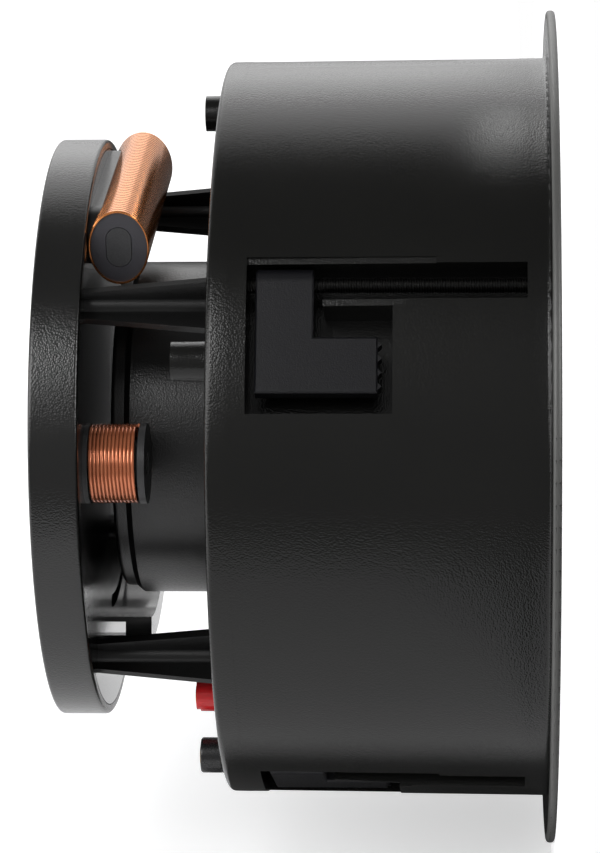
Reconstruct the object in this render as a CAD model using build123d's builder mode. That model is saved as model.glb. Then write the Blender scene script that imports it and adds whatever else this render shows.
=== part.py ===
from build123d import *
import os
from math import cos, radians, sin, sqrt

os.makedirs("parts", exist_ok=True)

# An in-ceiling loudspeaker, standing on its front rim: Z is the speaker's axis, z = 0 is the
# front of the rim and the crossover at the rear is up. Plan angles are counted from +X.

# Housing: rim, drum and rear wall moulded in one
RIM_RADIUS = 140.0
RIM_THICKNESS = 2.7
RIM_EDGE_RADIUS = 1.1
RIM_LAND = 6.0
GRILLE_REBATE = 1.6
DRUM_FRONT_RADIUS = 124.2
DRUM_REAR_RADIUS = 123.4
DRUM_REAR = 108.4
DRUM_WALL = 3.0
DRUM_EDGE_RADIUS = 2.0
DRUM_ROOT_RADIUS = 1.0
MAGNET_HOLE_RADIUS = 57.6
BAFFLE_FRONT = 14.0
BAFFLE_THICKNESS = 3.0
DRIVER_HOLE_RADIUS = 93.0
DRIVER_RECESS_RADIUS = 101.0
RECESS_MOUTH_RADIUS = 108.0
RECESS_MOUTH_DEPTH = 8.0

# Ceiling clamps: a dog-leg on a long screw in an L-shaped pocket, four times round the drum
CLAMPS = 4
CLAMP_ANGLE = -77.15
POCKET_FLOOR = 104.0
POCKET_REACH = 26.0
POCKET_HALF_WIDTH = 23.75
POCKET_FRONT = 51.0
POCKET_REAR = 95.9
SLOT_WIDTH = 11.8
SLOT_FRONT = 10.0
POCKET_WALL = 2.2
POCKET_END_WALL = 4.0
RAIL_WIDTH = 2.0
RAIL_FRONT_SUNK = 0.8
RAIL_REAR_SUNK = 1.6
UPPER_RAIL_FRONT = 37.8
LOWER_RAIL_FRONT = 47.0
LOWER_RAIL_REAR = 72.5
SCREW_OUT = 116.0
SCREW_ALONG = 17.85
SCREW_RADIUS = 2.5
SCREW_TIP = 99.0
SCREW_HEAD_RADIUS = 4.5
SCREW_HEAD_FRONT = 2.0
SCREW_HEAD_HEIGHT = 2.6
SCREW_CHAMFER = 0.8
RUNNING_CLEARANCE = 0.06
PIECE_GAP = 0.3

# Dog-leg: an arm across the screw and a toothed foot that presses on the ceiling board
ARM_FRONT = 75.3
ARM_REAR = 93.1
ARM_FACE = 121.0
ARM_THICKNESS = 6.5
ARM_LENGTH = 35.0
ARM_BOSS_RADIUS = 5.0
ARM_CHAMFER = 0.5
FOOT_FRONT = 55.6
FOOT_WIDTH = 17.5
TOOTH_COUNT = 4
TOOTH_HEIGHT = 1.2
TOOTH_SPACE = 1.6
TOOTH_ROOT = 0.2
TOOTH_INSET = 0.6

# Pegs moulded on the rear wall, and the cable posts in the fourth place
PEG_CIRCLE = 110.4
PEG_ANGLE = -79.5
PEG_RADIUS = 6.3
PEG_REAR = 119.5
PEG_TAPER = 1.0
POST_Y = -23.0
BLACK_POST_X = -109.7
BLACK_CAP_RADIUS = 5.9
BLACK_CAP_REAR = 117.9
RED_POST_X = -89.6
RED_CAP_RADIUS = 5.5
RED_CAP_REAR = 119.3
RED_CAP_COLLAR = 1.4
RED_CAP_STEP = 0.6
CAP_EDGE_RADIUS = 0.8
POST_STUD_RADIUS = 3.0
POST_SOCKET_RADIUS = 2.05
POST_SOCKET_DEPTH = 9.0
POST_BUSH_HEIGHT = 2.0
POST_NUT_WIDTH = 9.0
POST_NUT_HEIGHT = 3.0
POST_STUD_TAIL = 2.0

# Pillars between the drum and the crossover
PILLARS = 4
PILLAR_CIRCLE = 84.7
PILLAR_ANGLE = -63.1
PILLAR_ROD_RADIUS = 3.9
PILLAR_FIN = 2.0
PILLAR_FIN_ANGLES = (45, 135)
PILLAR_FOOT_REACH = 11.6
PILLAR_TOP_REACH = 6.7
PILLAR_PILOT_DEPTH = 14.0

# Crossover: a round tray with a cover that faces the drum
TRAY_RADIUS = 97.7
TRAY_FRONT = 150.1
TRAY_REAR = 165.9
TRAY_WALL = 3.0
TRAY_EDGE_RADIUS = 1.2
TRAY_LEDGE = 3.5
COVER_THICKNESS = 3.0
BOARD_RADIUS = 74.0
BOARD_THICKNESS = 1.6
BOARD_BOSS_CIRCLE = 62.0
BOARD_BOSS_RADIUS = 4.0
DUCT_INNER = 65.0
DUCT_OUTER = 73.0
DUCT_HEIGHT = 13.5
DUCT_TUNNEL = 4.6
DUCT_START = 128.0
DUCT_ARC = 52.0
COVER_SLOT_RADIUS = 59.5
COVER_SLOT_WIDTH = 4.6
COVER_SLOT_START = 140.0
COVER_SLOT_ARC = 40.0
TRAY_SCREW_RADIUS = 1.9
TRAY_SCREW_BITE = 10.5
TRAY_SCREW_HEAD = 3.8
TRAY_SCREW_PLAY = 0.2
TRAY_SCREW_SUNK = 0.8
TRAY_TUBE_WALL = 1.5

# Large oval choke lying on the cover
CHOKE_NEAR = (57.2, -70.5)
CHOKE_FAR = (89.5, 9.0)
CHOKE_HALF_WIDTH = 12.4
CHOKE_HALF_HEIGHT = 9.8
CHOKE_CENTRE_Z = 140.1
CHOKE_COPPER = 0.7
CHOKE_END_RECESS = 0.5
CORE_LENGTH = 13.1
CORE_WIDTH = 8.0
CORE_GAP = 0.2
CRADLE_WIDTH = 19.0
CRADLE_SHORTER = 8.0

# Small bobbin coil standing on the cover
COIL_CENTRE = (-11.8, -72.6)
COIL_FLANGE_RADIUS = 12.9
COIL_FRONT_FLANGE = 2.2
COIL_REAR_FLANGE = 1.5
COIL_HUB_RADIUS = 7.5
COIL_HOLE_RADIUS = 3.5
COIL_FRONT = 130.5
COIL_TURNS = 13
COIL_WIRE_RADIUS = 12.7
COIL_WIRE_CREST = 0.4

# Woofer
BASKET_RADIUS = 99.5
GASKET = 0.8
BASKET_FLANGE = 2.5
BASKET_REAR = 97.0
BASKET_THROAT_RADIUS = 88.0
BASKET_SKIRT_RADIUS = 91.0
BASKET_WAIST_Z = 29.0
BASKET_WAIST_RADIUS = 89.5
BASKET_WALL = 2.9
BASKET_SEAT_RADIUS = 53.5
BASKET_SEAT_BORE = 26.0
BASKET_SEAT = 2.5
WINDOWS = 6
WINDOW_FRONT = 33.0
WINDOW_REAR = 78.0
WINDOW_FRONT_WIDTH = 62.0
WINDOW_REAR_WIDTH = 34.0
SURROUND = 0.8
TRIM_RING = 1.5
SPIDER = 0.6
SPIDER_SHELF = 85.5
SPIDER_LEDGE = 2.0
SPIDER_LEDGE_RADIUS = 43.0
SPIDER_RADIUS = 47.0
SPIDER_WAVES = 6
SPIDER_WAVE_HEIGHT = 1.4
CONE_EDGE_RADIUS = 78.0
CONE_EDGE_Z = 17.0
CONE_NECK_Z = 72.0
CONE_THICKNESS = 1.0
CONE_FLARE = 5.0
CONE_LIP = 4.0
ROLL_FRONT = 5.0
ROLL_OUTER_RADIUS = 88.5
SURROUND_RADIUS = 92.3
COIL_FORMER_RADIUS = 18.5
COIL_FORMER = 0.4
COIL_FORMER_FRONT = 70.0
COIL_FORMER_REAR = 108.0
VOICE_COIL = 0.7
VOICE_COIL_OVERHANG = 3.0
POLE_RADIUS = 18.0
POLE_BORE_RADIUS = 5.1
GAP_RADIUS = 20.2
TOP_PLATE_REAR = 104.0
MAGNET_REAR = 129.0
YOKE_REAR = 136.0
PLATE_RADIUS = 50.0
MAGNET_RADIUS = 52.0
MAGNET_BORE_RADIUS = 28.0
BOOT_RADIUS = 56.2
BOOT_WALL = 3.0
BOOT_FRONT = 101.0
BOOT_SHOULDER = 138.2
BOOT_STEP_Z = 140.2
BOOT_STEP_RADIUS = 54.0
BOOT_STEP_LAND = 0.6
BOOT_REAR = 144.7
BOOT_ROLL_RADIUS = 1.6

# Tweeter on a post in the cone's mouth
TWEETER_FRONT = 9.0
TWEETER_REAR = 28.0
TWEETER_RADIUS = 23.0
TWEETER_CHAMFER = 5.0
TWEETER_EDGE = 0.8
DOME_RADIUS = 12.5
DOME_HEIGHT = 4.0
DOME_SUNK = 5.0
DOME_CLOTH = 0.5
POST_RADIUS = 5.0
POST_SHOULDER_RADIUS = 9.0
POST_SHOULDER = 3.0

# Driver screws
DRIVER_SCREWS = 8
DRIVER_SCREW_CIRCLE = 96.0
DRIVER_SCREW_RADIUS = 1.6
DRIVER_SCREW_HEAD = 3.0
DRIVER_SCREW_HEAD_HEIGHT = 2.0
DRIVER_SCREW_TAIL = 2.0
DRIVER_SCREW_ANGLE = 10.0

gasket_front = BAFFLE_FRONT - GASKET
basket_front = gasket_front - BASKET_FLANGE
surround_front = basket_front - SURROUND
trim_front = surround_front - TRIM_RING
slot_along = POCKET_HALF_WIDTH - SLOT_WIDTH / 2
cover_back = TRAY_FRONT + COVER_THICKNESS
tray_floor = TRAY_REAR - TRAY_WALL
drum_inner_rear = DRUM_REAR - DRUM_WALL
pillar_height = TRAY_FRONT - DRUM_REAR


def finish(builder, name):
    """Name a finished piece and write it as a STEP file."""
    builder.part.label = name
    export_step(builder.part, f"parts/{name}.step")


def ring_edges(builder, radius, height):
    """Circular edges of one radius at one height on the axis."""
    circles = builder.edges().filter_by(GeomType.CIRCLE)
    return circles.filter_by(
        lambda edge: abs(edge.radius - radius) < 0.01 and abs(edge.arc_center.Z - height) < 0.01
    )


def clamp_plane(index, height):
    """Plane of one clamp: local X points out of the drum, local Y runs round it."""
    angle = radians(CLAMP_ANGLE + index * 360 / CLAMPS)
    return Plane((0, 0, height), x_dir=(cos(angle), sin(angle), 0), z_dir=(0, 0, 1))


def clamp_section(index, along):
    """Upright plane across one clamp: local X points out of the drum, local Y runs up the axis."""
    flat = clamp_plane(index, 0)
    return Plane(flat.from_local_coords((0, along, 0)), x_dir=flat.x_dir, z_dir=-flat.y_dir)


def skin(height, along):
    """How far out the drum's skin lies in a clamp's plane."""
    rise = (height - RIM_THICKNESS) / (DRUM_REAR - RIM_THICKNESS)
    radius = DRUM_FRONT_RADIUS + (DRUM_REAR_RADIUS - DRUM_FRONT_RADIUS) * rise
    return sqrt(radius**2 - along**2)


def rail_outline(front, rear, along, back):
    """Section between a rail's slanting crest, a little under the drum's skin, and a back line."""
    Polygon(
        (back, front),
        (skin(front, along) - RAIL_FRONT_SUNK, front),
        (skin(rear, along) - RAIL_REAR_SUNK, rear),
        (back, rear),
        align=None,
    )


# Housing with its baffle, pockets, screw bearings, pegs and holes for the posts
with BuildPart() as housing:
    with BuildSketch(Plane.XZ):
        with BuildLine():
            Polyline(
                (RIM_RADIUS - RIM_LAND, 0),
                (RIM_RADIUS, 0),
                (RIM_RADIUS, RIM_THICKNESS),
                (DRUM_FRONT_RADIUS, RIM_THICKNESS),
                (DRUM_REAR_RADIUS, DRUM_REAR),
                (MAGNET_HOLE_RADIUS, DRUM_REAR),
                (MAGNET_HOLE_RADIUS, drum_inner_rear),
                (DRUM_REAR_RADIUS - DRUM_WALL, drum_inner_rear),
                (DRUM_FRONT_RADIUS - DRUM_WALL, BAFFLE_FRONT + BAFFLE_THICKNESS),
                (DRIVER_HOLE_RADIUS, BAFFLE_FRONT + BAFFLE_THICKNESS),
                (DRIVER_HOLE_RADIUS, BAFFLE_FRONT),
                (DRIVER_RECESS_RADIUS, BAFFLE_FRONT),
                (DRIVER_RECESS_RADIUS, RECESS_MOUTH_DEPTH),
                (RECESS_MOUTH_RADIUS, GRILLE_REBATE),
                (RIM_RADIUS - RIM_LAND, GRILLE_REBATE),
                close=True,
            )
        make_face()
    revolve(axis=Axis.Z)
    fillet(ring_edges(housing, DRUM_REAR_RADIUS, DRUM_REAR), DRUM_EDGE_RADIUS)
    fillet(ring_edges(housing, DRUM_FRONT_RADIUS, RIM_THICKNESS), DRUM_ROOT_RADIUS)
    rim_corners = ring_edges(housing, RIM_RADIUS, 0) + ring_edges(housing, RIM_RADIUS, RIM_THICKNESS)
    fillet(rim_corners, RIM_EDGE_RADIUS)

    # walls of the pockets inside the drum, trimmed to stay within its wall
    drum_skin = DRUM_REAR_RADIUS - DRUM_WALL / 2
    with BuildSketch(Plane.XY.offset(POCKET_FRONT - POCKET_WALL)):
        with PolarLocations(POCKET_FLOOR - POCKET_WALL, CLAMPS, CLAMP_ANGLE):
            Rectangle(
                POCKET_REACH,
                2 * (POCKET_HALF_WIDTH + POCKET_WALL),
                align=(Align.MIN, Align.CENTER),
            )
        Circle(drum_skin, mode=Mode.INTERSECT)
    extrude(amount=POCKET_REAR + POCKET_END_WALL - POCKET_FRONT + POCKET_WALL)
    with BuildSketch(Plane.XY.offset(SLOT_FRONT)):
        with PolarLocations(POCKET_FLOOR - POCKET_WALL, CLAMPS, CLAMP_ANGLE):
            with Locations((0, slot_along)):
                Rectangle(
                    POCKET_REACH,
                    SLOT_WIDTH + 2 * POCKET_WALL,
                    align=(Align.MIN, Align.CENTER),
                )
        Circle(drum_skin, mode=Mode.INTERSECT)
    extrude(amount=POCKET_FRONT - SLOT_FRONT)

    # the pockets themselves: a wide part for the folded dog-leg and a slot for its travel
    with BuildSketch(Plane.XY.offset(POCKET_FRONT)):
        with PolarLocations(POCKET_FLOOR, CLAMPS, CLAMP_ANGLE):
            Rectangle(POCKET_REACH, 2 * POCKET_HALF_WIDTH, align=(Align.MIN, Align.CENTER))
    extrude(amount=POCKET_REAR - POCKET_FRONT, mode=Mode.SUBTRACT)
    with BuildSketch(Plane.XY.offset(SLOT_FRONT)):
        with PolarLocations(POCKET_FLOOR, CLAMPS, CLAMP_ANGLE):
            with Locations((0, slot_along)):
                Rectangle(POCKET_REACH, SLOT_WIDTH, align=(Align.MIN, Align.CENTER))
    extrude(amount=POCKET_FRONT - SLOT_FRONT, mode=Mode.SUBTRACT)

    # rails along both sides of the slots, each a step in the skin: the lower one is also a wall
    # that runs on into the pocket and stops short of the arm
    lower_rail = POCKET_HALF_WIDTH - SLOT_WIDTH
    upper_middle = POCKET_HALF_WIDTH + RAIL_WIDTH / 2
    lower_middle = lower_rail - RAIL_WIDTH / 2
    for index in range(CLAMPS):
        with BuildSketch(clamp_section(index, POCKET_HALF_WIDTH)):
            rail_outline(UPPER_RAIL_FRONT, POCKET_REAR, upper_middle, RIM_RADIUS)
        extrude(amount=-RAIL_WIDTH, mode=Mode.SUBTRACT)
        with BuildSketch(clamp_section(index, lower_rail)):
            rail_outline(LOWER_RAIL_FRONT, LOWER_RAIL_REAR, lower_middle, RIM_RADIUS)
        extrude(amount=RAIL_WIDTH, mode=Mode.SUBTRACT)
        with BuildSketch(clamp_section(index, lower_rail)):
            rail_outline(LOWER_RAIL_FRONT, LOWER_RAIL_REAR, lower_middle, POCKET_FLOOR)
        extrude(amount=RAIL_WIDTH)

    # bearings of the clamp screws: a sunk head at the front and a blind hole at the rear
    with BuildSketch(Plane.XY):
        with PolarLocations(SCREW_OUT, CLAMPS, CLAMP_ANGLE):
            with Locations((0, SCREW_ALONG)):
                Circle(SCREW_RADIUS + RUNNING_CLEARANCE)
    extrude(amount=SCREW_TIP + PIECE_GAP, mode=Mode.SUBTRACT)
    with BuildSketch(Plane.XY):
        with PolarLocations(SCREW_OUT, CLAMPS, CLAMP_ANGLE):
            with Locations((0, SCREW_ALONG)):
                Circle(SCREW_HEAD_RADIUS + PIECE_GAP)
    extrude(amount=SCREW_HEAD_FRONT + SCREW_HEAD_HEIGHT + PIECE_GAP, mode=Mode.SUBTRACT)

    # pegs on the rear wall
    with BuildSketch(Plane.XY.offset(DRUM_REAR)):
        with PolarLocations(PEG_CIRCLE, CLAMPS - 1, PEG_ANGLE, 270):
            Circle(PEG_RADIUS)
    extrude(amount=PEG_REAR - DRUM_REAR, taper=PEG_TAPER)

    # holes for the cable posts
    with BuildSketch(Plane.XY.offset(DRUM_REAR)):
        with Locations((BLACK_POST_X, POST_Y), (RED_POST_X, POST_Y)):
            Circle(POST_STUD_RADIUS)
    extrude(amount=-DRUM_WALL, mode=Mode.SUBTRACT)

    # holes for the woofer's screws
    with BuildSketch(Plane.XY.offset(BAFFLE_FRONT)):
        with PolarLocations(DRIVER_SCREW_CIRCLE, DRIVER_SCREWS, DRIVER_SCREW_ANGLE):
            Circle(DRIVER_SCREW_RADIUS)
    extrude(amount=BAFFLE_THICKNESS, mode=Mode.SUBTRACT)
finish(housing, "housing")

# Dog-legs and their screws
for index in range(CLAMPS):
    with BuildPart() as dogleg:
        arm_end = SCREW_ALONG - ARM_LENGTH
        with BuildSketch(clamp_plane(index, ARM_FRONT)):
            with Locations((ARM_FACE, arm_end)):
                Rectangle(ARM_THICKNESS, ARM_LENGTH, align=(Align.MAX, Align.MIN))
            with Locations((SCREW_OUT, SCREW_ALONG)):
                Circle(ARM_BOSS_RADIUS)
        extrude(amount=ARM_REAR - ARM_FRONT)
        with BuildSketch(clamp_plane(index, FOOT_FRONT)):
            with Locations((ARM_FACE, arm_end)):
                Rectangle(ARM_THICKNESS, FOOT_WIDTH, align=(Align.MAX, Align.MIN))
        extrude(amount=ARM_FRONT - FOOT_FRONT)
        outward = Axis((0, 0, 0), clamp_plane(index, 0).x_dir)
        chamfer(dogleg.faces().sort_by(outward)[-1].edges(), ARM_CHAMFER)

        # a row of teeth across the foot
        pitch = FOOT_WIDTH / TOOTH_COUNT
        teeth_start = ARM_FACE - ARM_THICKNESS + TOOTH_INSET
        across = Plane(
            clamp_plane(index, FOOT_FRONT).from_local_coords((teeth_start, 0, 0)),
            x_dir=clamp_plane(index, 0).y_dir,
            z_dir=clamp_plane(index, 0).x_dir,
        )
        with BuildSketch(across):
            for tooth in range(TOOTH_COUNT):
                start = arm_end + tooth * pitch
                Polygon(
                    (start + TOOTH_SPACE / 2, TOOTH_ROOT),
                    (start + pitch - TOOTH_SPACE / 2, TOOTH_ROOT),
                    (start + pitch / 2, -TOOTH_HEIGHT),
                    align=None,
                )
        extrude(amount=ARM_THICKNESS - 2 * TOOTH_INSET)
        with BuildSketch(clamp_plane(index, ARM_FRONT)):
            with Locations((SCREW_OUT, SCREW_ALONG)):
                Circle(SCREW_RADIUS + RUNNING_CLEARANCE)
        extrude(amount=ARM_REAR - ARM_FRONT, mode=Mode.SUBTRACT)
    finish(dogleg, f"dogleg_{index + 1}")

    with BuildPart() as clamp_screw:
        with BuildSketch(clamp_plane(index, SCREW_HEAD_FRONT)):
            with Locations((SCREW_OUT, SCREW_ALONG)):
                Circle(SCREW_HEAD_RADIUS)
        extrude(amount=SCREW_HEAD_HEIGHT)
        chamfer(clamp_screw.faces().sort_by(Axis.Z)[0].edges(), SCREW_CHAMFER)
        with BuildSketch(clamp_plane(index, SCREW_HEAD_FRONT + SCREW_HEAD_HEIGHT)):
            with Locations((SCREW_OUT, SCREW_ALONG)):
                Circle(SCREW_RADIUS)
        extrude(amount=SCREW_TIP - SCREW_HEAD_FRONT - SCREW_HEAD_HEIGHT)
        chamfer(clamp_screw.faces().sort_by(Axis.Z)[-1].edges(), SCREW_CHAMFER)
    finish(clamp_screw, f"clamp_screw_{index + 1}")

# Pillars: a round rod with four fins that widen towards the drum
for index in range(PILLARS):
    turn = radians(PILLAR_ANGLE + index * 360 / PILLARS)
    foot = (PILLAR_CIRCLE * cos(turn), PILLAR_CIRCLE * sin(turn), DRUM_REAR)
    with BuildPart() as pillar:
        with BuildSketch(Plane(foot)):
            Circle(PILLAR_ROD_RADIUS)
        extrude(amount=pillar_height)
        for fin_angle in PILLAR_FIN_ANGLES:
            across = (cos(radians(fin_angle)), sin(radians(fin_angle)), 0)
            normal = (sin(radians(fin_angle)), -cos(radians(fin_angle)), 0)
            with BuildSketch(Plane(foot, x_dir=across, z_dir=normal)):
                Polygon(
                    (-PILLAR_FOOT_REACH, 0),
                    (PILLAR_FOOT_REACH, 0),
                    (PILLAR_TOP_REACH, pillar_height),
                    (-PILLAR_TOP_REACH, pillar_height),
                    align=None,
                )
            extrude(amount=PILLAR_FIN / 2, both=True)
        with BuildSketch(Plane(foot).offset(pillar_height)):
            Circle(TRAY_SCREW_RADIUS)
        extrude(amount=-PILLAR_PILOT_DEPTH, mode=Mode.SUBTRACT)
    finish(pillar, f"pillar_{index + 1}")

# Crossover tray: rim wall, ledge for the cover and screw tubes over the pillars
with BuildPart() as crossover_tray:
    with BuildSketch(Plane.XZ):
        with BuildLine():
            Polyline(
                (0, TRAY_REAR),
                (TRAY_RADIUS, TRAY_REAR),
                (TRAY_RADIUS, TRAY_FRONT),
                (TRAY_RADIUS - TRAY_WALL, TRAY_FRONT),
                (TRAY_RADIUS - TRAY_WALL, cover_back),
                (TRAY_RADIUS - TRAY_WALL - TRAY_LEDGE, cover_back),
                (TRAY_RADIUS - TRAY_WALL - TRAY_LEDGE, tray_floor),
                (0, tray_floor),
                close=True,
            )
        make_face()
    revolve(axis=Axis.Z)
    tray_corners = ring_edges(crossover_tray, TRAY_RADIUS, TRAY_REAR)
    tray_corners += ring_edges(crossover_tray, TRAY_RADIUS, TRAY_FRONT)
    fillet(tray_corners, TRAY_EDGE_RADIUS)
    with BuildSketch(Plane.XY.offset(cover_back)):
        with PolarLocations(PILLAR_CIRCLE, PILLARS, PILLAR_ANGLE):
            Circle(TRAY_SCREW_HEAD + TRAY_SCREW_PLAY + TRAY_TUBE_WALL)
    extrude(amount=tray_floor - cover_back)
    with BuildSketch(Plane.XY.offset(cover_back)):
        with PolarLocations(PILLAR_CIRCLE, PILLARS, PILLAR_ANGLE):
            Circle(TRAY_SCREW_RADIUS)
    extrude(amount=TRAY_REAR - cover_back, mode=Mode.SUBTRACT)
    with BuildSketch(Plane.XY.offset(tray_floor)):
        with PolarLocations(PILLAR_CIRCLE, PILLARS, PILLAR_ANGLE):
            Circle(TRAY_SCREW_HEAD + TRAY_SCREW_PLAY)
    extrude(amount=TRAY_WALL, mode=Mode.SUBTRACT)
finish(crossover_tray, "crossover_tray")

# Crossover cover: a disc set into the tray, with a wire duct, a slot and bosses for the board
with BuildPart() as crossover_cover:
    with BuildSketch(Plane.XY.offset(TRAY_FRONT)):
        Circle(TRAY_RADIUS - TRAY_WALL - PIECE_GAP)
        with PolarLocations(PILLAR_CIRCLE, PILLARS, PILLAR_ANGLE):
            Circle(TRAY_SCREW_RADIUS, mode=Mode.SUBTRACT)
    extrude(amount=COVER_THICKNESS)
    with BuildSketch(Plane.XY.offset(cover_back)):
        with PolarLocations(BOARD_BOSS_CIRCLE, PILLARS):
            Circle(BOARD_BOSS_RADIUS)
    extrude(amount=BOARD_THICKNESS)
    with BuildSketch(Plane.XY.offset(TRAY_FRONT)):
        with BuildLine():
            outer = CenterArc((0, 0), DUCT_OUTER, DUCT_START, DUCT_ARC)
            inner = CenterArc((0, 0), DUCT_INNER, DUCT_START, DUCT_ARC)
            Line(outer @ 0, inner @ 0)
            Line(outer @ 1, inner @ 1)
        make_face()
    extrude(amount=-DUCT_HEIGHT)
    with BuildSketch(Plane.XY.offset(TRAY_FRONT)):
        with Locations((-(DUCT_INNER + DUCT_OUTER) / 2, 0)):
            Rectangle(DUCT_TUNNEL, 2 * DUCT_OUTER)
    extrude(amount=-DUCT_TUNNEL, mode=Mode.SUBTRACT)
    with BuildSketch(Plane.XY.offset(TRAY_FRONT)):
        slot_line = CenterArc((0, 0), COVER_SLOT_RADIUS, COVER_SLOT_START, COVER_SLOT_ARC)
        SlotArc(slot_line, COVER_SLOT_WIDTH)
    extrude(amount=COVER_THICKNESS, mode=Mode.SUBTRACT)
finish(crossover_cover, "crossover_cover")

# Circuit board on the cover's bosses, inside the tray
with BuildPart() as crossover_board:
    with BuildSketch(Plane.XY.offset(cover_back + BOARD_THICKNESS)):
        Circle(BOARD_RADIUS)
    extrude(amount=BOARD_THICKNESS)
finish(crossover_board, "crossover_board")

# Screws that hold the tray on the pillars
with BuildPart() as tray_screws:
    with BuildSketch(Plane.XY.offset(TRAY_FRONT - TRAY_SCREW_BITE)):
        with PolarLocations(PILLAR_CIRCLE, PILLARS, PILLAR_ANGLE):
            Circle(TRAY_SCREW_RADIUS)
    extrude(amount=tray_floor - TRAY_FRONT + TRAY_SCREW_BITE)
    with BuildSketch(Plane.XY.offset(tray_floor)):
        with PolarLocations(PILLAR_CIRCLE, PILLARS, PILLAR_ANGLE):
            Circle(TRAY_SCREW_HEAD)
    extrude(amount=TRAY_WALL - TRAY_SCREW_SUNK)
finish(tray_screws, "tray_screws")

# Large choke: copper sleeve on an oval former, with an obround core showing at both ends
choke_run = Vector(CHOKE_FAR[0] - CHOKE_NEAR[0], CHOKE_FAR[1] - CHOKE_NEAR[1], 0)
choke_plane = Plane(
    (CHOKE_NEAR[0], CHOKE_NEAR[1], CHOKE_CENTRE_Z),
    x_dir=choke_run.cross(Vector(0, 0, 1)),
    z_dir=choke_run,
)
choke_length = choke_run.length
with BuildPart() as choke_winding:
    with BuildSketch(choke_plane):
        Ellipse(CHOKE_HALF_WIDTH, CHOKE_HALF_HEIGHT)
        Ellipse(CHOKE_HALF_WIDTH - CHOKE_COPPER, CHOKE_HALF_HEIGHT - CHOKE_COPPER, mode=Mode.SUBTRACT)
    extrude(amount=choke_length)
finish(choke_winding, "choke_winding")

with BuildPart() as choke_former:
    with BuildSketch(choke_plane.offset(CHOKE_END_RECESS)):
        Ellipse(CHOKE_HALF_WIDTH - CHOKE_COPPER, CHOKE_HALF_HEIGHT - CHOKE_COPPER)
        SlotOverall(CORE_LENGTH + 2 * CORE_GAP, CORE_WIDTH + 2 * CORE_GAP, mode=Mode.SUBTRACT)
    extrude(amount=choke_length - 2 * CHOKE_END_RECESS)
finish(choke_former, "choke_former")

with BuildPart() as choke_core:
    with BuildSketch(choke_plane.offset(CHOKE_END_RECESS)):
        SlotOverall(CORE_LENGTH, CORE_WIDTH)
    extrude(amount=choke_length - 2 * CHOKE_END_RECESS)
finish(choke_core, "choke_core")

# Cradle: an obround bed on the cover, hollowed to the choke's oval
with BuildPart() as choke_cradle:
    middle = choke_plane.origin + choke_run / 2
    bed_angle = choke_run.get_angle(Vector(1, 0, 0))
    with BuildSketch(Plane.XY.offset(TRAY_FRONT)):
        with Locations((middle.X, middle.Y)):
            SlotOverall(choke_length - CRADLE_SHORTER, CRADLE_WIDTH, rotation=bed_angle)
    extrude(amount=CHOKE_CENTRE_Z + CHOKE_HALF_HEIGHT / 2 - TRAY_FRONT)
    with BuildSketch(choke_plane):
        Ellipse(CHOKE_HALF_WIDTH, CHOKE_HALF_HEIGHT)
    extrude(amount=choke_length, mode=Mode.SUBTRACT)
finish(choke_cradle, "choke_cradle")

# Small coil: a flanged bobbin and its turns of wire
coil_start = COIL_FRONT + COIL_FRONT_FLANGE
coil_end = TRAY_FRONT - COIL_REAR_FLANGE
coil_plane = Plane((COIL_CENTRE[0], COIL_CENTRE[1], 0), x_dir=(1, 0, 0), z_dir=(0, -1, 0))
coil_axis = Axis((COIL_CENTRE[0], COIL_CENTRE[1], 0), (0, 0, 1))
with BuildPart() as coil_bobbin:
    with BuildSketch(coil_plane):
        with BuildLine():
            Polyline(
                (COIL_HOLE_RADIUS, COIL_FRONT),
                (COIL_FLANGE_RADIUS, COIL_FRONT),
                (COIL_FLANGE_RADIUS, coil_start),
                (COIL_HUB_RADIUS, coil_start),
                (COIL_HUB_RADIUS, coil_end),
                (COIL_FLANGE_RADIUS, coil_end),
                (COIL_FLANGE_RADIUS, TRAY_FRONT),
                (COIL_HOLE_RADIUS, TRAY_FRONT),
                close=True,
            )
        make_face()
    revolve(axis=coil_axis)
finish(coil_bobbin, "coil_bobbin")

with BuildPart() as coil_winding:
    wire_pitch = (coil_end - coil_start) / COIL_TURNS
    turn_points = [(COIL_HUB_RADIUS, coil_end), (COIL_HUB_RADIUS, coil_start)]
    crest_start = wire_pitch * (1 - COIL_WIRE_CREST) / 2
    for wire in range(COIL_TURNS):
        low = coil_start + wire * wire_pitch
        turn_points.append((COIL_WIRE_RADIUS - wire_pitch / 2, low))
        turn_points.append((COIL_WIRE_RADIUS, low + crest_start))
        turn_points.append((COIL_WIRE_RADIUS, low + wire_pitch - crest_start))
    turn_points.append((COIL_WIRE_RADIUS - wire_pitch / 2, coil_end))
    with BuildSketch(coil_plane):
        with BuildLine():
            Polyline(*turn_points, close=True)
        make_face()
    revolve(axis=coil_axis)
finish(coil_winding, "coil_winding")

# Cable posts: brass studs with plug sockets, insulating bushes and screw caps
post_rears = ((BLACK_POST_X, BLACK_CAP_REAR), (RED_POST_X, RED_CAP_REAR))
nut_front = drum_inner_rear - POST_NUT_HEIGHT
with BuildPart() as post_studs:
    for post_x, post_rear in post_rears:
        with BuildSketch(Plane.XY.offset(nut_front - POST_STUD_TAIL)):
            with Locations((post_x, POST_Y)):
                Circle(POST_STUD_RADIUS)
        extrude(amount=post_rear - nut_front + POST_STUD_TAIL)
        with BuildSketch(Plane.XY.offset(nut_front)):
            with Locations((post_x, POST_Y)):
                RegularPolygon(POST_NUT_WIDTH / 2, 6, major_radius=False)
        extrude(amount=POST_NUT_HEIGHT)
        with BuildSketch(Plane.XY.offset(post_rear)):
            with Locations((post_x, POST_Y)):
                Circle(POST_SOCKET_RADIUS)
        extrude(amount=-POST_SOCKET_DEPTH, mode=Mode.SUBTRACT)
finish(post_studs, "post_studs")

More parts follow.
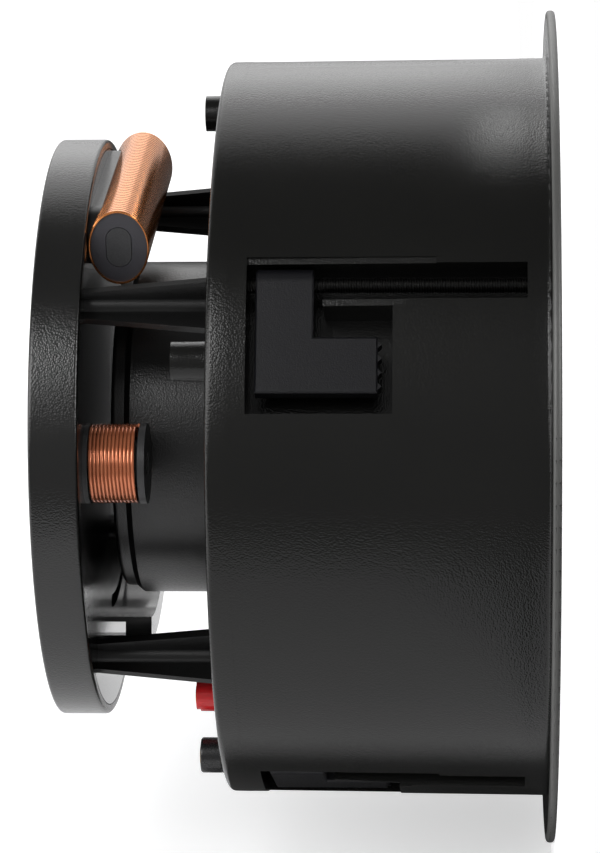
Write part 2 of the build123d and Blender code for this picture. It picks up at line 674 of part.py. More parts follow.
with BuildPart() as post_bushes:
    with BuildSketch(Plane.XY.offset(DRUM_REAR)):
        with Locations((BLACK_POST_X, POST_Y), (RED_POST_X, POST_Y)):
            Circle(BLACK_CAP_RADIUS)
            Circle(POST_STUD_RADIUS, mode=Mode.SUBTRACT)
    extrude(amount=POST_BUSH_HEIGHT)
finish(post_bushes, "post_bushes")

cap_front = DRUM_REAR + POST_BUSH_HEIGHT + PIECE_GAP
with BuildPart() as black_cap:
    with BuildSketch(Plane.XY.offset(cap_front)):
        with Locations((BLACK_POST_X, POST_Y)):
            Circle(BLACK_CAP_RADIUS)
    extrude(amount=BLACK_CAP_REAR - PIECE_GAP - cap_front)
    fillet(black_cap.faces().sort_by(Axis.Z)[-1].edges(), CAP_EDGE_RADIUS)
    with BuildSketch(Plane.XY.offset(cap_front)):
        with Locations((BLACK_POST_X, POST_Y)):
            Circle(POST_STUD_RADIUS + RUNNING_CLEARANCE)
    extrude(amount=BLACK_CAP_REAR - cap_front, mode=Mode.SUBTRACT)
finish(black_cap, "black_cap")

with BuildPart() as red_cap:
    collar_front = RED_CAP_REAR - PIECE_GAP - RED_CAP_COLLAR
    with BuildSketch(Plane.XY.offset(cap_front)):
        with Locations((RED_POST_X, POST_Y)):
            Circle(RED_CAP_RADIUS)
    extrude(amount=collar_front - cap_front)
    with BuildSketch(Plane.XY.offset(collar_front)):
        with Locations((RED_POST_X, POST_Y)):
            Circle(RED_CAP_RADIUS - RED_CAP_STEP)
    extrude(amount=RED_CAP_COLLAR)
    with BuildSketch(Plane.XY.offset(cap_front)):
        with Locations((RED_POST_X, POST_Y)):
            Circle(POST_STUD_RADIUS + RUNNING_CLEARANCE)
    extrude(amount=RED_CAP_REAR - cap_front, mode=Mode.SUBTRACT)
finish(red_cap, "red_cap")

# Woofer basket: a cast frame with windows, a shelf for the spider and a seat for the magnet
with BuildPart() as basket:
    with BuildSketch(Plane.XZ):
        with BuildLine():
            Polyline(
                (BASKET_THROAT_RADIUS, basket_front),
                (BASKET_RADIUS, basket_front),
                (BASKET_RADIUS, gasket_front),
                (BASKET_SKIRT_RADIUS, gasket_front),
                (BASKET_WAIST_RADIUS, BASKET_WAIST_Z),
                (BASKET_SEAT_RADIUS, SPIDER_SHELF),
                (BASKET_SEAT_RADIUS, BASKET_REAR),
                (BASKET_SEAT_BORE, BASKET_REAR),
                (BASKET_SEAT_BORE, BASKET_REAR - BASKET_SEAT),
                (BASKET_SEAT_RADIUS - BASKET_SEAT, BASKET_REAR - BASKET_SEAT),
                (BASKET_SEAT_RADIUS - BASKET_SEAT, SPIDER_SHELF + SPIDER_LEDGE),
                (SPIDER_LEDGE_RADIUS, SPIDER_SHELF + SPIDER_LEDGE),
                (SPIDER_LEDGE_RADIUS, SPIDER_SHELF),
                (BASKET_SEAT_RADIUS - BASKET_WALL, SPIDER_SHELF),
                (BASKET_WAIST_RADIUS - BASKET_WALL, BASKET_WAIST_Z),
                close=True,
            )
        make_face()
    revolve(axis=Axis.Z)
    for window in range(WINDOWS):
        with BuildSketch(Plane.XZ.rotated((0, 0, window * 360 / WINDOWS))):
            Polygon(
                (-WINDOW_FRONT_WIDTH / 2, WINDOW_FRONT),
                (WINDOW_FRONT_WIDTH / 2, WINDOW_FRONT),
                (WINDOW_REAR_WIDTH / 2, WINDOW_REAR),
                (-WINDOW_REAR_WIDTH / 2, WINDOW_REAR),
                align=None,
            )
        extrude(amount=BASKET_RADIUS, mode=Mode.SUBTRACT)
    with BuildSketch(Plane.XY.offset(basket_front)):
        with PolarLocations(DRIVER_SCREW_CIRCLE, DRIVER_SCREWS, DRIVER_SCREW_ANGLE):
            Circle(DRIVER_SCREW_RADIUS)
    extrude(amount=BASKET_FLANGE, mode=Mode.SUBTRACT)
finish(basket, "basket")


def ring(inner, outer, front, rear):
    """A plain ring between two radii and two heights on the axis."""
    with BuildPart() as band:
        with BuildSketch(Plane.XY.offset(front)):
            Circle(outer)
            if inner:
                Circle(inner, mode=Mode.SUBTRACT)
        extrude(amount=rear - front)
    return band


finish(ring(GAP_RADIUS, PLATE_RADIUS, BASKET_REAR, TOP_PLATE_REAR), "top_plate")
finish(ring(MAGNET_BORE_RADIUS, MAGNET_RADIUS, TOP_PLATE_REAR, MAGNET_REAR), "magnet_ring")

# Yoke: back plate and pole in one, bored for the tweeter's post
with BuildPart() as pole_yoke:
    with BuildSketch(Plane.XY.offset(MAGNET_REAR)):
        Circle(PLATE_RADIUS)
    extrude(amount=YOKE_REAR - MAGNET_REAR)
    with BuildSketch(Plane.XY.offset(BASKET_REAR)):
        Circle(POLE_RADIUS)
    extrude(amount=MAGNET_REAR - BASKET_REAR)
    with BuildSketch(Plane.XY.offset(BASKET_REAR)):
        Circle(POLE_BORE_RADIUS)
    extrude(amount=YOKE_REAR - BASKET_REAR, mode=Mode.SUBTRACT)
finish(pole_yoke, "pole_yoke")

# Moulded boot over the magnet, with a chamfered shoulder and a raised rear disc with a round edge
with BuildPart() as magnet_boot:
    with BuildSketch(Plane.XZ):
        with BuildLine():
            Polyline(
                (BOOT_RADIUS - BOOT_WALL, BOOT_FRONT),
                (BOOT_RADIUS, BOOT_FRONT),
                (BOOT_RADIUS, BOOT_SHOULDER),
                (BOOT_STEP_RADIUS + BOOT_STEP_LAND, BOOT_STEP_Z),
                (BOOT_STEP_RADIUS, BOOT_STEP_Z),
                (BOOT_STEP_RADIUS, BOOT_REAR),
                (0, BOOT_REAR),
                (0, YOKE_REAR),
                (BOOT_RADIUS - BOOT_WALL, YOKE_REAR),
                close=True,
            )
        make_face()
    revolve(axis=Axis.Z)
    fillet(ring_edges(magnet_boot, BOOT_STEP_RADIUS, BOOT_REAR), BOOT_ROLL_RADIUS)
finish(magnet_boot, "magnet_boot")

# Foam gasket behind the basket's flange, pierced by the driver's screws
with BuildPart() as gasket:
    with BuildSketch(Plane.XY.offset(gasket_front)):
        Circle(BASKET_RADIUS)
        Circle(DRIVER_HOLE_RADIUS, mode=Mode.SUBTRACT)
        with PolarLocations(DRIVER_SCREW_CIRCLE, DRIVER_SCREWS, DRIVER_SCREW_ANGLE):
            Circle(DRIVER_SCREW_RADIUS, mode=Mode.SUBTRACT)
    extrude(amount=GASKET)
finish(gasket, "gasket")

finish(ring(ROLL_OUTER_RADIUS, SURROUND_RADIUS, trim_front, surround_front), "trim_ring")

# Rubber surround: inner lip on the cone, one half roll and an outer lip on the basket
roll_centre = (CONE_EDGE_RADIUS + ROLL_OUTER_RADIUS) / 2
lip_inner = CONE_EDGE_RADIUS - CONE_LIP
with BuildPart() as surround:
    with BuildSketch(Plane.XZ):
        with BuildLine():
            Polyline(
                (lip_inner, CONE_EDGE_Z),
                (lip_inner, CONE_EDGE_Z - SURROUND),
                (CONE_EDGE_RADIUS, CONE_EDGE_Z - SURROUND),
                (CONE_EDGE_RADIUS, surround_front),
            )
            ThreePointArc(
                (CONE_EDGE_RADIUS, surround_front),
                (roll_centre, ROLL_FRONT),
                (ROLL_OUTER_RADIUS, surround_front),
            )
            Polyline(
                (ROLL_OUTER_RADIUS, surround_front),
                (SURROUND_RADIUS, surround_front),
                (SURROUND_RADIUS, basket_front),
                (ROLL_OUTER_RADIUS - SURROUND, basket_front),
            )
            ThreePointArc(
                (ROLL_OUTER_RADIUS - SURROUND, basket_front),
                (roll_centre, ROLL_FRONT + SURROUND),
                (CONE_EDGE_RADIUS + SURROUND, basket_front),
            )
            Polyline(
                (CONE_EDGE_RADIUS + SURROUND, basket_front),
                (CONE_EDGE_RADIUS + SURROUND, CONE_EDGE_Z),
                (lip_inner, CONE_EDGE_Z),
            )
        make_face()
    revolve(axis=Axis.Z)
finish(surround, "surround")

# Cone: a flared paper shell with a flat lip, glued to the voice coil's former
former_outer = COIL_FORMER_RADIUS + COIL_FORMER
cone_back = CONE_EDGE_Z + CONE_THICKNESS
flare_r = (lip_inner + former_outer) / 2 - CONE_FLARE
flare_z = (CONE_EDGE_Z + CONE_NECK_Z) / 2 - CONE_FLARE
with BuildPart() as cone:
    with BuildSketch(Plane.XZ):
        with BuildLine():
            ThreePointArc(
                (lip_inner, CONE_EDGE_Z),
                (flare_r, flare_z),
                (former_outer, CONE_NECK_Z),
            )
            Line((former_outer, CONE_NECK_Z), (former_outer, CONE_NECK_Z + 2 * CONE_THICKNESS))
            ThreePointArc(
                (former_outer, CONE_NECK_Z + 2 * CONE_THICKNESS),
                (flare_r + CONE_THICKNESS / 2, flare_z + CONE_THICKNESS),
                (lip_inner + CONE_THICKNESS, cone_back),
            )
            Polyline(
                (lip_inner + CONE_THICKNESS, cone_back),
                (CONE_EDGE_RADIUS + SURROUND, cone_back),
                (CONE_EDGE_RADIUS + SURROUND, CONE_EDGE_Z),
                (lip_inner, CONE_EDGE_Z),
            )
        make_face()
    revolve(axis=Axis.Z)
finish(cone, "cone")

finish(
    ring(COIL_FORMER_RADIUS, former_outer, COIL_FORMER_FRONT, COIL_FORMER_REAR),
    "voice_coil_former",
)
coil_front = BASKET_REAR - VOICE_COIL_OVERHANG
coil_rear = TOP_PLATE_REAR + VOICE_COIL_OVERHANG
finish(ring(former_outer, former_outer + VOICE_COIL, coil_front, coil_rear), "voice_coil")

# Spider: a corrugated cloth ring from the basket's shelf to the voice coil's former
spider_front = SPIDER_SHELF - SPIDER
spider_inner = former_outer + PIECE_GAP
wave_pitch = (SPIDER_LEDGE_RADIUS - spider_inner) / SPIDER_WAVES
wave_points = [(SPIDER_RADIUS, spider_front), (SPIDER_LEDGE_RADIUS, spider_front)]
for wave in range(SPIDER_WAVES):
    trough = SPIDER_LEDGE_RADIUS - (wave + 1) * wave_pitch
    wave_points.append((trough + wave_pitch / 2, spider_front - SPIDER_WAVE_HEIGHT))
    wave_points.append((trough, spider_front))
with BuildPart() as spider:
    with BuildSketch(Plane.XZ):
        with BuildLine():
            Polyline(
                *wave_points,
                *[(radius, height + SPIDER) for radius, height in reversed(wave_points)],
                close=True,
            )
        make_face()
    revolve(axis=Axis.Z)
finish(spider, "spider")

# Tweeter: post through the pole, body with a flared mouth, and a cloth dome
with BuildPart() as tweeter_post:
    with BuildSketch(Plane.XY.offset(TWEETER_REAR)):
        Circle(POST_RADIUS)
    extrude(amount=YOKE_REAR - TWEETER_REAR)
    with BuildSketch(Plane.XY.offset(BASKET_REAR - POST_SHOULDER)):
        Circle(POST_SHOULDER_RADIUS)
    extrude(amount=POST_SHOULDER)
finish(tweeter_post, "tweeter_post")

dome_seat = TWEETER_FRONT + DOME_SUNK
with BuildPart() as tweeter_body:
    with BuildSketch(Plane.XZ):
        with BuildLine():
            Polyline(
                (0, TWEETER_REAR),
                (TWEETER_RADIUS - TWEETER_CHAMFER, TWEETER_REAR),
                (TWEETER_RADIUS, TWEETER_REAR - TWEETER_CHAMFER),
                (TWEETER_RADIUS, TWEETER_FRONT + TWEETER_EDGE),
                (TWEETER_RADIUS - TWEETER_EDGE, TWEETER_FRONT),
                (DOME_RADIUS + TWEETER_EDGE, dome_seat),
                (0, dome_seat),
                close=True,
            )
        make_face()
    revolve(axis=Axis.Z)
finish(tweeter_body, "tweeter_body")

with BuildPart() as tweeter_dome:
    dome_sphere = (DOME_RADIUS**2 + DOME_HEIGHT**2) / (2 * DOME_HEIGHT)
    with Locations((0, 0, dome_seat - DOME_HEIGHT + dome_sphere)):
        Sphere(dome_sphere)
        Sphere(dome_sphere - DOME_CLOTH, mode=Mode.SUBTRACT)
    split(bisect_by=Plane.XY.offset(dome_seat), keep=Keep.BOTTOM)
finish(tweeter_dome, "tweeter_dome")

# Screws that hold the basket to the baffle
with BuildPart() as driver_screws:
    with BuildSketch(Plane.XY.offset(basket_front)):
        with PolarLocations(DRIVER_SCREW_CIRCLE, DRIVER_SCREWS, DRIVER_SCREW_ANGLE):
            Circle(DRIVER_SCREW_RADIUS)
    extrude(amount=BAFFLE_FRONT + BAFFLE_THICKNESS + DRIVER_SCREW_TAIL - basket_front)
    with BuildSketch(Plane.XY.offset(basket_front)):
        with PolarLocations(DRIVER_SCREW_CIRCLE, DRIVER_SCREWS, DRIVER_SCREW_ANGLE):
            Circle(DRIVER_SCREW_HEAD)
    extrude(amount=-DRIVER_SCREW_HEAD_HEIGHT)
finish(driver_screws, "driver_screws")
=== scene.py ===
from math import copysign, cos, pi, radians, sin

import bmesh
import bpy
from mathutils import Matrix, Vector


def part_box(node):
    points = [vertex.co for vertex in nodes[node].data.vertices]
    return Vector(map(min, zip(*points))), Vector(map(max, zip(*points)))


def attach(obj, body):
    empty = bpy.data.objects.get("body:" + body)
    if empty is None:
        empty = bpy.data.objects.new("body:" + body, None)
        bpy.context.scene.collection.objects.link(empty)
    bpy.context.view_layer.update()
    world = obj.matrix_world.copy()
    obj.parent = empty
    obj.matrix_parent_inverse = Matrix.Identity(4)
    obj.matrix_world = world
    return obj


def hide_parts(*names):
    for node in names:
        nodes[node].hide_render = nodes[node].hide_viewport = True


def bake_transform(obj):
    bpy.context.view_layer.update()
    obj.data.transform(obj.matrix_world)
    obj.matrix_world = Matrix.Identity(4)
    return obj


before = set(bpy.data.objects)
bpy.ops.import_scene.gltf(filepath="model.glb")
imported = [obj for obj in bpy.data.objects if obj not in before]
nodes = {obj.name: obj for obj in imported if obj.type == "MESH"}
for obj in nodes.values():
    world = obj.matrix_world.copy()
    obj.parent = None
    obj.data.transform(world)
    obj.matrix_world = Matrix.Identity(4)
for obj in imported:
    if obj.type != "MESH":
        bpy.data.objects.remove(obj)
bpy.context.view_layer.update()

# Camera: a long lens at the side of the speaker, level with its axis and a little behind the rim's
# plane, so that the drum is seen square on. It is turned on its side: the picture's top is +X.
MM = 0.001
CAMERA_DISTANCE = 1124.6 * MM
CAMERA_HEIGHT = 22.9 * MM
AIM_HEIGHT = 85.9 * MM
LENS_MM = 139.6
SENSOR_MM = 36.0
scene = bpy.context.scene
scene.view_settings.view_transform = "Standard"
camera = bpy.data.objects.new("camera", bpy.data.cameras.new("camera"))
camera.data.lens = LENS_MM
camera.data.sensor_width = SENSOR_MM
camera_place = Vector((0, -CAMERA_DISTANCE, CAMERA_HEIGHT))
forward = (Vector((0, 0, AIM_HEIGHT)) - camera_place).normalized()
picture_up = Vector((1, 0, 0))
picture_right = forward.cross(picture_up)
camera_turn = Matrix((picture_right, picture_up, -forward)).transposed()
camera.matrix_world = Matrix.Translation(camera_place) @ camera_turn.to_4x4()
scene.collection.objects.link(camera)
scene.camera = camera


# Studio: a floor under the rim and a sweep along the picture's lower side, both white painted board, in a
# room that is white behind the speaker and dark before it. Towards the camera the board turns grey for all
# rays but the camera's, which is a painted shade in its reflections. Grey felt flags darken a few
# reflections, and softboxes stand above, behind, before and beside the speaker.
def linear(code):
    """Linear colour of an sRGB hex code."""
    channels = [int(code[start:start + 2], 16) / 255 for start in (1, 3, 5)]
    return (*[c / 12.92 if c <= 0.04045 else ((c + 0.055) / 1.055) ** 2.4 for c in channels], 1)


def add(tree, kind, sockets=None, **settings):
    """Add a node, set its options, and fill or link its inputs."""
    node = tree.nodes.new(kind)
    for name, value in settings.items():
        setattr(node, name, value)
    for name, value in (sockets or {}).items():
        if isinstance(value, bpy.types.NodeSocket):
            tree.links.new(value, node.inputs[name])
        else:
            node.inputs[name].default_value = value
    return node


FLOOR_REACH = 0.42
STAGE_REACH = 4.0
SWEEP_X = -160 * MM
SWEEP_NEAR = -0.6
SWEEP_TILT = radians(20)
# the grey is a painted shade: the board's colour towards the camera, seen in reflections and bounced light
# but never by the camera
STAGE_WHITE = "#e9e9ea"
STAGE_SHADE_GREY = "#555556"
STAGE_LIFT = 0.5
FAR_LIFT = 0.6
LIFT_FROM = 0.3
LIFT_TO = 0.8
SHADE_GREY_AT = -0.9
WHITE_AT = -0.1
MIRROR_SHARE = 0.6
board = bpy.data.materials.new("board_white_with_painted_shade")
board.use_nodes = True
tree = board.node_tree
tree.nodes.clear()
path = add(tree, "ShaderNodeLightPath")
mirrored = add(
    tree, "ShaderNodeMath", {0: path.outputs["Is Glossy Ray"], 1: path.outputs["Is Transmission Ray"]},
    operation="MAXIMUM",
)
dimmed = add(tree, "ShaderNodeMath", {0: mirrored.outputs[0], 1: MIRROR_SHARE}, operation="MULTIPLY")
shown = add(
    tree, "ShaderNodeMath", {0: path.outputs["Is Camera Ray"], 1: dimmed.outputs[0]}, operation="MAXIMUM"
)
place = add(tree, "ShaderNodeTexCoord").outputs["Object"]
away = add(tree, "ShaderNodeVectorMath", {0: place}, operation="LENGTH")
fade = add(
    tree, "ShaderNodeMapRange",
    {
        "Value": away.outputs["Value"], "From Min": LIFT_FROM, "From Max": LIFT_TO,
        "To Min": STAGE_LIFT, "To Max": FAR_LIFT,
    },
)
# painted shade: except for camera rays, the board fades from white to grey towards the camera, and its glow
# fades with it
depth = add(tree, "ShaderNodeSeparateXYZ", {0: place})
close = add(
    tree, "ShaderNodeMapRange", {"Value": depth.outputs["Y"], "From Min": SHADE_GREY_AT, "From Max": WHITE_AT}
)
near = add(
    tree, "ShaderNodeMath", {0: close.outputs[0], 1: path.outputs["Is Camera Ray"]}, operation="MAXIMUM"
)
shaded_tint = add(
    tree, "ShaderNodeMix", {0: near.outputs[0], 6: linear(STAGE_SHADE_GREY), 7: linear(STAGE_WHITE)},
    data_type="RGBA",
)
reach = add(tree, "ShaderNodeMath", {0: near.outputs[0], 1: fade.outputs[0]}, operation="MULTIPLY")
lift = add(tree, "ShaderNodeMath", {0: shown.outputs[0], 1: reach.outputs[0]}, operation="MULTIPLY")
paint = add(tree, "ShaderNodeBsdfDiffuse", {"Color": shaded_tint.outputs[2]})
glow = add(tree, "ShaderNodeEmission", {"Strength": lift.outputs[0]})
face = add(tree, "ShaderNodeAddShader", {0: paint.outputs[0], 1: glow.outputs[0]})
side = add(tree, "ShaderNodeNewGeometry")
clear = add(tree, "ShaderNodeBsdfTransparent")
one_sided = add(
    tree, "ShaderNodeMixShader", {0: side.outputs["Backfacing"], 1: face.outputs[0], 2: clear.outputs[0]}
)
add(tree, "ShaderNodeOutputMaterial", {"Surface": one_sided.outputs[0]})


def stage_board(name, place, reach, material):
    """A square board facing local +Z, moved into place in its mesh."""
    mesh = bpy.data.meshes.new(name)
    bm = bmesh.new()
    bmesh.ops.create_grid(bm, x_segments=1, y_segments=1, size=reach, matrix=place)
    bm.to_mesh(mesh)
    bm.free()
    mesh.materials.append(material)
    slab = bpy.data.objects.new(name, mesh)
    scene.collection.objects.link(slab)
    return slab


floor = stage_board("floor", Matrix.Identity(4), FLOOR_REACH, board)
floor.visible_glossy = False
sweep_foot = Matrix.Translation((SWEEP_X, 0, 0)) @ Matrix.Rotation(-SWEEP_TILT, 4, "Z")
upright = Matrix.Rotation(pi / 2, 4, "Y")
sweep_middle = Matrix.Translation((0, STAGE_REACH + SWEEP_NEAR, STAGE_REACH))
stage_board("sweep", sweep_foot @ sweep_middle @ upright, STAGE_REACH, board)

FELT_GREY = "#6a6a6a"
FLAG_REACH = 100 * MM
FLAG_MIDDLE = Vector((4, 70, 20)) * MM
GAP_FLAG_REACH = 60 * MM
GAP_FLAG_BEHIND = 250 * MM
GAP_FLAG_REAR = 95 * MM
felt = bpy.data.materials.new("felt_grey")
felt.use_nodes = True
felt.node_tree.nodes.clear()
pile = add(felt.node_tree, "ShaderNodeBsdfDiffuse", {"Color": linear(FELT_GREY)})
add(felt.node_tree, "ShaderNodeOutputMaterial", {"Surface": pile.outputs[0]})
flags = [stage_board("flag", sweep_foot @ Matrix.Translation(FLAG_MIDDLE) @ upright, FLAG_REACH, felt)]
facing_camera = Matrix.Rotation(pi / 2, 4, "X")
for name, height in (("gap_flag", 5 * MM), ("upper_gap_flag", 125 * MM)):
    gap_middle = Matrix.Translation((height, GAP_FLAG_BEHIND, GAP_FLAG_REAR))
    flags.append(stage_board(name, gap_middle @ facing_camera, GAP_FLAG_REACH, felt))
for cloth in flags:
    cloth.visible_camera = False
    cloth.visible_diffuse = False
    cloth.visible_shadow = False

ROOM_DIFFUSE = 0.55
ROOM_DARK = 0.18
ROOM_DIM = 0.34
BRIGHT_SIDE = (0.2, 0.98, 0.0)
BRIGHT_FROM = 0.24
BRIGHT_TO = 0.42
CAMERA_SIDE = (0, -1, 0)
DIM_FROM = 0.6
DIM_TO = 0.95
world = bpy.data.worlds.new("studio")
scene.world = world
world.use_nodes = True
tree = world.node_tree
tree.nodes.clear()
path = add(tree, "ShaderNodeLightPath")
ray = add(tree, "ShaderNodeTexCoord").outputs["Generated"]
behind = add(tree, "ShaderNodeVectorMath", {0: ray, 1: BRIGHT_SIDE}, operation="DOT_PRODUCT")
bright = add(
    tree, "ShaderNodeMapRange",
    {
        "Value": behind.outputs["Value"], "From Min": BRIGHT_FROM, "From Max": BRIGHT_TO,
        "To Min": ROOM_DARK, "To Max": 1.0,
    },
    interpolation_type="SMOOTHSTEP",
)
before = add(tree, "ShaderNodeVectorMath", {0: ray, 1: CAMERA_SIDE}, operation="DOT_PRODUCT")
dim = add(
    tree, "ShaderNodeMapRange",
    {
        "Value": before.outputs["Value"], "From Min": DIM_FROM, "From Max": DIM_TO,
        "To Min": ROOM_DARK, "To Max": ROOM_DIM,
    },
    interpolation_type="SMOOTHSTEP",
)
room = add(tree, "ShaderNodeMath", {0: bright.outputs[0], 1: dim.outputs[0]}, operation="MAXIMUM")
seen = add(
    tree, "ShaderNodeMath", {0: path.outputs["Is Camera Ray"], 1: path.outputs["Is Transmission Ray"]},
    operation="MAXIMUM",
)
soft = add(tree, "ShaderNodeMix", {0: path.outputs["Is Glossy Ray"], 2: ROOM_DIFFUSE, 3: room.outputs[0]})
level = add(tree, "ShaderNodeMix", {0: seen.outputs[0], 2: soft.outputs[0], 3: 1.0})
backdrop = add(tree, "ShaderNodeBackground", {"Color": (1, 1, 1, 1), "Strength": level.outputs[0]})
add(tree, "ShaderNodeOutputWorld", {"Surface": backdrop.outputs[0]})


def softbox(name, place, aim, width, height, watts):
    """A rectangular lamp that points from one place at another."""
    lamp = bpy.data.lights.new(name, "AREA")
    lamp.shape = "RECTANGLE"
    lamp.size = width
    lamp.size_y = height
    lamp.energy = watts
    box = bpy.data.objects.new(name, lamp)
    beam = Vector(aim) - Vector(place)
    box.matrix_world = Matrix.Translation(place) @ beam.to_track_quat("-Z", "Y").to_matrix().to_4x4()
    box.visible_camera = False
    scene.collection.objects.link(box)


softbox("top_softbox", (0.9, 0.4, 0.1), (0, 0, 0.08), 0.6, 0.9, 1.4)
softbox("crossover_softbox", (0.15, -0.35, 1.3), (0, 0, 0.1), 0.5, 0.7, 3.0)
softbox("front_softbox", (0.53, -0.95, 0.5), (0, 0, 0.12), 0.25, 0.25, 1.1)
softbox("rim_softbox", (0.3, -0.85, 0.75), (0, -0.13, 0), 0.5, 1.0, 5.2)
softbox("under_softbox", (0.25, -0.6, -0.55), (0, -0.1, 0), 0.5, 0.5, 4.0)
softbox("corner_softbox", (0.182, -0.071, 0.017), (0.093, -0.082, 0.018), 0.05, 0.01, 0.007)
softbox("rear_softbox", (0.9, 0.88, 0.3), (0.05, 0, 0.14), 0.6, 0.6, 0.9)


# Housing: rim, drum, rear wall and pockets, one moulding in black polypropylene.
# The tool's leather grain leaves soft pebbles that break up every reflection. It is drawn a little
# coarser than the real grain, so that it shows in the render.
def start_material(name):
    """A new material, its node tree and its surface shader."""
    material = bpy.data.materials.new(name)
    material.use_nodes = True
    tree = material.node_tree
    tree.nodes.clear()
    shader = add(tree, "ShaderNodeBsdfPrincipled")
    add(tree, "ShaderNodeOutputMaterial", {"Surface": shader.outputs[0]})
    return material, tree, shader


FLOW_MM = 30
FINE_SHARE = 0.1
GLOSS_BELOW = 0.04
GLOSS_ABOVE = 0.08
POLISH_ROUGHNESS = 0.1


def moulded_plastic(name, dark, light, grain_mm, depth_mm, roughness, gleam=0.4, polish=0.0):
    """Moulded plastic with a pebbled tool grain: cells that differ a little in height and gloss."""
    material, tree, shader = start_material(name)
    place = add(tree, "ShaderNodeTexCoord").outputs["Object"]
    wander = add(tree, "ShaderNodeTexNoise", {"Vector": place, "Scale": 1 / (2 * grain_mm * MM)})
    warp = add(
        tree, "ShaderNodeVectorMath", {0: wander.outputs["Color"], "Scale": 0.5 * grain_mm * MM},
        operation="SCALE",
    )
    bent = add(tree, "ShaderNodeVectorMath", {0: place, 1: warp.outputs[0]}, operation="ADD")
    cells = add(tree, "ShaderNodeTexVoronoi", {"Vector": bent.outputs[0], "Scale": 1 / (grain_mm * MM)})
    fine = add(tree, "ShaderNodeTexNoise", {"Vector": place, "Scale": 4 / (grain_mm * MM), "Detail": 2.0})
    relief = add(
        tree, "ShaderNodeMath", {0: fine.outputs[0], 1: FINE_SHARE, 2: cells.outputs["Distance"]},
        operation="MULTIPLY_ADD",
    )
    bump = add(
        tree, "ShaderNodeBump", {"Height": relief.outputs[0], "Distance": depth_mm * MM}, invert=True
    )
    flow = add(tree, "ShaderNodeTexNoise", {"Vector": place, "Scale": 1 / (FLOW_MM * MM), "Detail": 3.0})
    tone = add(
        tree, "ShaderNodeMix", {0: flow.outputs[0], 6: linear(dark), 7: linear(light)}, data_type="RGBA"
    )
    gloss = add(
        tree, "ShaderNodeMapRange",
        {
            "Value": cells.outputs["Distance"],
            "To Min": roughness - GLOSS_BELOW, "To Max": roughness + GLOSS_ABOVE,
        },
    )
    shader.inputs["Specular IOR Level"].default_value = gleam
    shader.inputs["Coat Weight"].default_value = polish
    shader.inputs["Coat Roughness"].default_value = POLISH_ROUGHNESS
    tree.links.new(tone.outputs[2], shader.inputs["Base Color"])
    tree.links.new(gloss.outputs[0], shader.inputs["Roughness"])
    tree.links.new(bump.outputs[0], shader.inputs["Normal"])
    return material


def dress(material, *names):
    """Give a finish to pieces that keep their shape from the frame."""
    for name in names:
        nodes[name].material_slots[0].material = material


housing_plastic = moulded_plastic("polypropylene_black_leather_grain", "#0a0a09", "#10100e", 0.6, 0.055, 0.17)
dress(housing_plastic, "housing")


# Drum edges: the rounded rim, its root on the drum and the drum's rounded rear corner, the same
# moulding as the housing. Each is turned as one fine ring, so that its highlight runs true. The rim's ring
# is painted light grey: a painted highlight along the rim's edge, which is black plastic.
WELD = 0.001 * MM


def turned(bm, profile, centre, segments, closed=False):
    """Spin an outline of (radius, height) points about an upright line."""
    verts = [bm.verts.new((centre[0] + radius, centre[1], height)) for radius, height in profile]
    following = verts[1:] + verts[:1] if closed else verts[1:]
    edges = [bm.edges.new(pair) for pair in zip(verts, following)]
    bmesh.ops.spin(
        bm, geom=verts + edges, cent=(centre[0], centre[1], 0), axis=(0, 0, 1), angle=2 * pi,
        steps=segments, use_merge=True,
    )
    bmesh.ops.remove_doubles(bm, verts=bm.verts, dist=WELD)
    bmesh.ops.recalc_face_normals(bm, faces=bm.faces)


SMOOTH_UNDER = radians(38)


def new_piece(name, bm, material, body, slot, *replaced):
    """Turn a bmesh into a finished piece that moves with a body and stands for its plain solids."""
    mesh = bpy.data.meshes.new(name)
    bm.to_mesh(mesh)
    bm.free()
    mesh.materials.append(material)
    mesh.shade_smooth()
    mesh.set_sharp_from_angle(angle=SMOOTH_UNDER)
    piece = bpy.data.objects.new(name, mesh)
    scene.collection.objects.link(piece)
    if body:
        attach(piece, body)
    if replaced:
        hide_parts(*replaced)
    return piece


EDGE_SEGMENTS = 256
EDGE_STEPS = 6
EDGE_PROUD = 0.015
RIM_RADIUS = 140.0
RIM_THICKNESS = 2.7
RIM_ROUND = 1.1
RIM_BAND = 137.4
DRUM_FRONT_RADIUS = 124.2
DRUM_REAR_RADIUS = 123.4
DRUM_REAR = 108.4
DRUM_ROUND = 2.0
DRUM_DRAFT = 0.06
REAR_BAND = 101.0
ROOT_ROUND = 1.4
ROOT_DRAFT = 0.05
ROOT_BAND = 9.0
# the rest of each section lies hidden in the housing's wall
RIM_WITHIN = [(RIM_RADIUS - RIM_ROUND, 0.5), (RIM_BAND, 1.6)]
ROOT_WITHIN = [(127.0, 2.2), (125.5, 2.2), (123.6, 3.2), (123.4, ROOT_BAND)]
REAR_WITHIN = [(119.6, 107.6), (121.2, 106.6), (122.4, 105.0), (122.6, REAR_BAND)]
